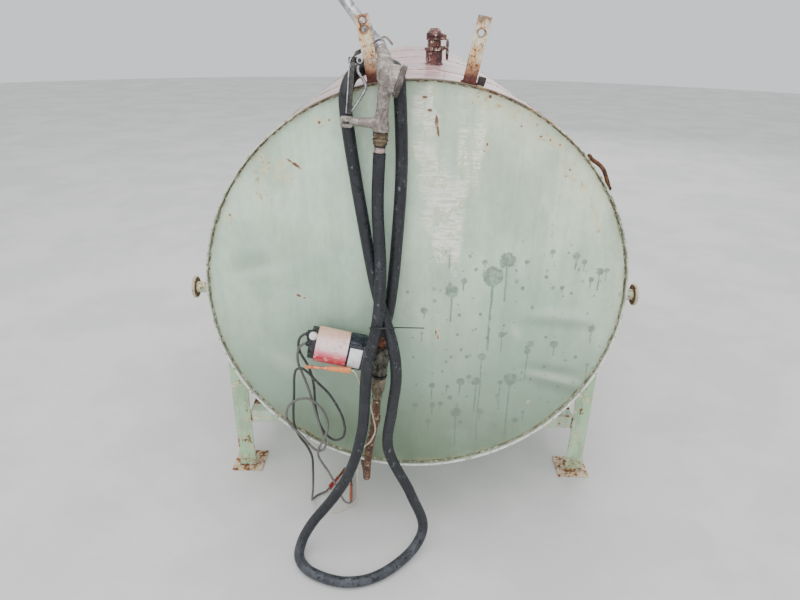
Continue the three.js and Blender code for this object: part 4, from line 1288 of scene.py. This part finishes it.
def make_nozzle():
    grey = cast_metal("nozzle_casting", (140, 129, 122), (172, 163, 155), 0.5, 0.4, dirt=0.35, flecks=0.04)
    bright = cast_metal("spout_metal", (172, 172, 176), (204, 204, 206), 0.3, 0.85, 260, 0.2)
    brass = cast_metal("swivel_brass", (84, 70, 56), (130, 112, 90), 0.4, 0.6)
    chrome = cast_metal("ferrule_metal", (206, 178, 172), (236, 214, 208), 0.25, 0.85)
    black = plastic("guard_black", (30, 29, 30), (76, 72, 68))
    steel = cast_metal("lever_steel", (150, 150, 152), (190, 190, 190), 0.35, 0.85, dirt=0.2)
    cap = at(-47.6, -68, 1337.4)
    facing = Vector((0.94, 0, -0.34)).normalized()
    bm = bmesh.new()
    turned(bm, cap, cap + facing, [(-45, 12), (-42, 22), (-38, 26), (-30, 27.4), (-14, 30.4), (-6, 31.4)], 48)
    neck, waist = at(-76, -66, 1345), at(-84, -2, 1385)
    turned(bm, neck, waist, [(0, 22), (30, 19.5), (60, 16), (75.9, 15)], 36)
    turned(bm, at(-82.5, -6, 1383), at(-92, 18, 1397), [(0, 14.5), (28, 13.4), (29.2, 12.6)], 32)
    for y in (0.32, 0.55):
        spot = neck.lerp(waist, y)
        turned(bm, spot, spot + (waist - neck), [(0, 19), (1, 21.2), (5, 20.6), (6, 18)], 36)
    turned(bm, at(-80, -62, 1330), at(*along_grip(1266)), [(0, 16), (20, 14.6), (44, 13.8), (66, 14.4)], 36)
    turned(bm, at(*along_grip(1270)), at(*along_grip(1227.4)),
           [(0, 14.4), (14, 15.6), (26, 17.4), (34, 19), (42.6, 19)], 36)
    turned(bm, at(-86, -46, 1246), at(-158, -43, 1249),
           [(0, 15), (14, 14), (30, 11.5), (46, 10), (72, 9.4)], 24)
    box(bm, at(-180, -52, 1236), at(-154, -35.5, 1261), 2.4)
    form = baked(bm, 1.5, 4)
    roughen(form, 0.5, 95)
    roughen(form, 0.3, 260, 4)
    make_piece("nozzle_casting", form, grey, replaces=["nozzle_body"], crease=60)

    bm = bmesh.new()
    profile = [(-5.7, 29), (-5.7, 33)]
    for groove in range(3):
        start = -5 + groove * 3.2
        profile += [(start, 34.2), (start + 0.6, 35), (start + 1.8, 35), (start + 2.3, 33.4),
                    (start + 2.9, 33.4)]
    profile += [(5, 35), (6, 34), (6, 31), (4.6, 29.5), (4.4, 18), (5.2, 17), (5.2, 0)]
    turned(bm, cap, cap + facing, profile, 72)
    cap_look = cast_metal("cap_casting", (112, 104, 98), (160, 150, 144), 0.5, 0.55, dirt=0.4)
    make_piece("nozzle_end_cap", bm, cap_look, replaces=["nozzle_cap"])

    bm = bmesh.new()
    top, low = at(*along_grip(1227)), at(*along_grip(1198))
    turned(bm, top, low, [(0.2, 17), (1.2, 18.4), (11, 18.4), (12, 17)], 6)
    turned(bm, top, low, [(11.6, 14.5), (12.4, 15.5), (14, 15.5), (14.4, 17), (15.6, 18), (19, 18),
                          (20.2, 17),
                          (20.6, 15.6), (23, 15.6), (23.6, 16.6), (27, 16.4), (28.8, 15.6)], 48)
    make_piece("swivel", bm, brass, replaces=["nozzle_swivel"])
    bm = bmesh.new()
    top, low = at(*along_grip(1197.7)), at(*along_grip(1179.6))
    turned(bm, top, low, [(0.1, 11), (0.6, 12.4), (5.4, 12.4), (6, 11.6), (7, 12.6), (9.6, 13), (12, 12.5),
                          (14.6, 13),
                          (17, 12.4), (18, 11.4)], 40)
    make_piece("ferrule", bm, chrome, replaces=["hose_ferrule"])
    bm = bmesh.new()
    turned(bm, top, low, [(0.6, 12.2), (0.9, 13.2), (4.6, 13.2), (5.1, 12.2)], 40)
    make_piece("ferrule_ring", bm, black)

    bm = bmesh.new()
    turned(bm, at(-92.1, 18.45, 1397.2), at(-95.8, 28, 1402.8), [(0, 12.8), (1, 13.5), (5, 15), (11.6, 15)],
           36)
    spout = smooth_route([(-97, 31, 1404), (-101, 38, 1408), (-125, 42, 1437), (-152, 47, 1470),
                          (-182, 55, 1506),
                          (-222, 70, 1546)], 3)
    tube(bm, spout, lambda share: 16.4 - 2.6 * min(1, share * 2) - 1.2 * share, 36)
    turned(bm, at(-122, 41.6, 1433.6), at(-152, 47, 1470), [(0, 15), (1, 17), (7, 17), (8, 15)], 36)
    hook = smooth_route([(-98, 36, 1409), (-92, 35, 1418.5), (-85.5, 35, 1422), (-77, 35, 1418),
                         (-66, 35, 1406)], 2)
    form = baked(bm, 1.5, 3)
    roughen(form, 0.3, 110)
    tip = [v for v in form.verts if (v.co - spout[-1]).length < 0.0098]
    lean = (spout[-1] - spout[-3]).normalized()
    for vertex in tip:
        if (vertex.co - spout[-1]).dot(lean) > -0.002:
            vertex.co -= lean * 0.006
    make_piece("spout", form, bright, replaces=["nozzle_spout"], crease=60)
    bm = bmesh.new()
    guard_strip(bm, hook, 9, 5)
    make_piece("spout_hook", bm, grey)

    outline = [(-167.1, -43, 1263.6), (-163, -38, 1310), (-160, -30, 1352), (-158, -20, 1374),
               (-148, -2, 1388),
               (-136, 14, 1394), (-123, 25.5, 1400)]
    strip = [at(*p) for p in outline]
    rounded = []
    for a, b in zip(strip, strip[1:]):
        rounded += [a.lerp(b, t) for t in (0.06, 0.3, 0.7, 0.94)]
    bm = bmesh.new()
    guard_strip(bm, rounded, 10, 2.4)
    make_piece("guard_strip", bm, steel)
    bm = bmesh.new()
    inner = [p + Vector((0.0068, 0.0, -0.0014)) for p in rounded[:12]]
    guard_strip(bm, inner, 5, 9)
    box(bm, at(-162, -19, 1368), at(-148, -7, 1382), 1.2)
    box(bm, at(-150, -10, 1368), at(-133.5, -7, 1382), 0.8)
    box(bm, at(-175, -53.6, 1245), at(-160, -50, 1250), 0.8)
    pivot = at(-137.5, -15, 1375)
    lean = math.radians(11.5)
    axis = Vector((0, -math.cos(lean), math.sin(lean)))
    turned(bm, pivot - axis * 0.005, pivot + axis, [(0, 2.6), (9.5, 2.6)], 24)
    turned(bm, pivot - axis * 0.0046, pivot - axis, [(0, 4.4), (1.6, 4.4), (2.4, 3)], 24)
    turned(bm, pivot + axis * 0.0029, pivot + axis, [(0, 4.6), (1.4, 4.6), (2.2, 3)], 24)
    make_piece("guard_bracket", bm, black, replaces=["nozzle_guard"])

    bm = bmesh.new()
    rod = smooth_route([(-157, -36.4, 1270), (-150, -34.8, 1278), (-124, -26.2, 1320), (-127, -23.5, 1333),
                        (-141, -19.6, 1353), (-138, -15.6, 1372)], 2)
    tube(bm, rod[:-4], 3.5, 16)
    turned(bm, pivot - axis * 0.0026, pivot + axis, [
        (0, 3.1), (0, 6.4), (0.6, 7), (4.6, 7), (5.2, 6.4), (5.2, 3.1),
    ], 36)
    make_piece("trigger", bm, steel, body="lever", replaces=["nozzle_lever"])


# Cords and what is on them
HOSE_RADIUS = 15
LEAD_RADIUS = 3.5
WIRE_RADIUS = 2


def make_cord(name, route, radius, step, look, node):
    """A cord as a curve of one spline through the route that part.mjs repeats"""
    data = bpy.data.curves.new(name, "CURVE")
    data.dimensions = "3D"
    data.bevel_depth = radius * MM
    data.bevel_resolution = 6
    data.use_fill_caps = True
    points = smooth_route(route, step)
    spline = data.splines.new("POLY")
    spline.points.add(len(points) - 1)
    for point, place in zip(spline.points, points):
        point.co = (*place, 1)
    spline.use_smooth = True
    piece = bpy.data.objects.new(name, data)
    bpy.context.scene.collection.objects.link(piece)
    data.materials.append(look.material)
    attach(piece, "tank")
    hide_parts(node)
    length = sum((b - a).length for a, b in zip(points, points[1:]))
    return piece, points, length


def make_cords():
    hose_look = rubber("hose_rubber", (28, 30, 36), (82, 86, 94), marks=0.1)
    lead_look = rubber("black_lead_cover", (58, 58, 58), (126, 122, 118), 0.3, 0.03)
    grey_look = rubber("grey_lead_cover", (98, 96, 92), (156, 150, 142), 0.5, 0.03)
    white_look = plastic("white_wire_cover", (226, 214, 196), (180, 158, 132))
    hose, hose_points, hose_length = make_cord("delivery_hose", HOSE_ROUTE, HOSE_RADIUS, 6, hose_look,
                                               "hose")
    black, black_points, black_length = make_cord("black_lead", BLACK_ROUTE, LEAD_RADIUS, 4, lead_look,
                                                  "lead_black")
    grey, grey_points, grey_length = make_cord("grey_lead", GREY_ROUTE, LEAD_RADIUS, 4, grey_look,
                                               "lead_grey")
    white, white_points, white_length = make_cord("white_wire", WHITE_ROUTE, WIRE_RADIUS, 4, white_look,
                                                  "wire_white")
    orange, copper_clamp, red = make_clamps()
    tie = make_tie()


def make_tie():
    """A slanting cable tie round the three stretches of hose, its tail sticking out to the right"""
    bundle = [(-99, -91.5), (-70.5, -72), (-83, -37.3)]
    slope = 0.48
    middle = 709.5
    bm = bmesh.new()
    rings = []
    for i in range(96):
        turn = 2 * math.pi * i / 96
        x, y = max(bundle, key=lambda p: p[0] * math.cos(turn) + p[1] * math.sin(turn))
        row = []
        for reach, up in ((17.2, -2.2), (18.9, -2.2), (18.9, 2.2), (17.2, 2.2)):
            front = y + math.sin(turn) * reach
            row.append(bm.verts.new(at(x + math.cos(turn) * reach, front, middle + up - slope * front)))
        rings.append(row)
    hoop(bm, rings)
    tail_z = middle + 0.5 + slope * 39.2
    box(bm, at(-65, -42.5, tail_z - 3.5), at(-58, -36.5, tail_z + 3.5), 1)
    tail = [at(-60, -39.2, tail_z), at(-20, -39.2, tail_z), at(6, -39.2, tail_z), at(23.6, -39.2, tail_z)]
    loft(bm, [[bm.verts.new(place + Vector((0, y, z))) for y, z in
               ((-0.0006, -0.0013), (0.0006, -0.0013), (0.0006, 0.0013),
                (-0.0006, 0.0013))] for place in tail])
    look = plastic("tie_black", (22, 22, 24), (60, 60, 62), 0.35)
    return make_piece("cable_tie", bm, look, replaces=["hose_tie"])


def make_clamp(name, jaws, tail, looks, node, fat=1.0):
    """A spring clamp: crossed handles with sleeves, a spring on the pivot and toothed jaws"""
    bm = bmesh.new()
    jaws, tail = at(*jaws), at(*tail)
    along = (jaws - tail).normalized()
    reach = (jaws - tail).length
    up = Vector((0, 0, 1))
    side = along.cross(up).normalized()
    up = side.cross(along).normalized()
    for sign in (1, -1):
        rings = []
        for i in range(25):
            share = i / 24
            lift = sign * (6 - 12 * share) / fat ** 3 * MM
            sleeve = fat if share < 0.56 else 1.0
            width = (4.6 + 0.8 * math.sin(share * math.pi * 2)) * (1 - 0.28 * share) * sleeve * MM
            thick = (4.4 if share < 0.56 else 2.6) * (1 - 0.1 * share) * sleeve * MM
            middle = tail.lerp(jaws, share) + up * lift
            spokes = [side * math.cos(t) * width + up * math.sin(t) * thick for t in turns_of(12)]
            rings.append([bm.verts.new(middle + spoke) for spoke in spokes])
        loft(bm, rings)
    pivot = tail.lerp(jaws, 0.52)
    turned(bm, pivot - side * 0.0052, pivot + side, [(0, 3), (1, 3.6), (9.4, 3.6), (10.4, 3)], 20)
    for i in range(6):
        tooth = tail.lerp(jaws, 0.8 + 0.033 * i)
        box(bm, Vector((-0.0008, -0.003, -0.0012)), Vector((0.0008, 0.003, 0.0012)), 0.3,
            Matrix.Translation(tooth))
    piece = make_piece(name, bm, looks, replaces=[node])
    for face in piece.data.polygons:
        if (face.center - tail).dot(along) < reach * 0.5:
            face.material_index = 1
    return piece


def make_clamps():
    jaw = cast_metal("jaw_copper", (206, 98, 58), (236, 158, 120), 0.35, 0.7, dirt=0.12)
    rusty_jaw = rusted("jaw_rust", (176, 104, 66), (92, 56, 42), 0.7)
    orange = plastic("sleeve_orange", (236, 150, 86), (204, 120, 68), 0.5)
    worn = plastic("sleeve_worn", (190, 110, 72), (126, 84, 64), 0.6)
    red = plastic("sleeve_red", (178, 44, 52), (126, 60, 54), 0.5)
    return (
        make_clamp("orange_clamp", (-287.1, -86, 634), (-167, -86, 624.5), [jaw, orange],
                   "clamp_orange", 1.35),
        make_clamp("copper_clamp", (-206, 226, 13), (-196, 96, 13), [rusty_jaw, worn],
                   "clamp_copper"),
        make_clamp("red_clamp", (-231, 244, 13), (-273, 152, 13), [rusty_jaw, red],
                   "clamp_red"),
    )


def make_floor():
    bm = bmesh.new()
    rings = []
    for radius in (0, 4, 9, 16):
        rings.append([bm.verts.new((radius * math.cos(math.pi * i / 32),
                                    radius * math.sin(math.pi * i / 32), -0.0005))
                      for i in range(64 if radius else 1)])
    for first, second in zip(rings, rings[1:]):
        join_rings(bm, first, second)
    mesh = bpy.data.meshes.new("floor")
    bm.to_mesh(mesh)
    bm.free()
    floor = bpy.data.objects.new("floor", mesh)
    bpy.context.scene.collection.objects.link(floor)
    look = Look("floor_paint", 0.7)
    patch = look.cover(0.5, 1.6, soft=1.5)
    look.color(look.mix(patch, (214, 214, 212), (224, 224, 221)))
    look.bump(look.noise(90, 5), 0.0004)
    mesh.materials.append(look.material)


make_camera()
make_cords()
make_shell()
make_heads()
make_stand()
make_lugs()
make_fittings()
make_pump()
make_nozzle()
make_light()
make_floor()
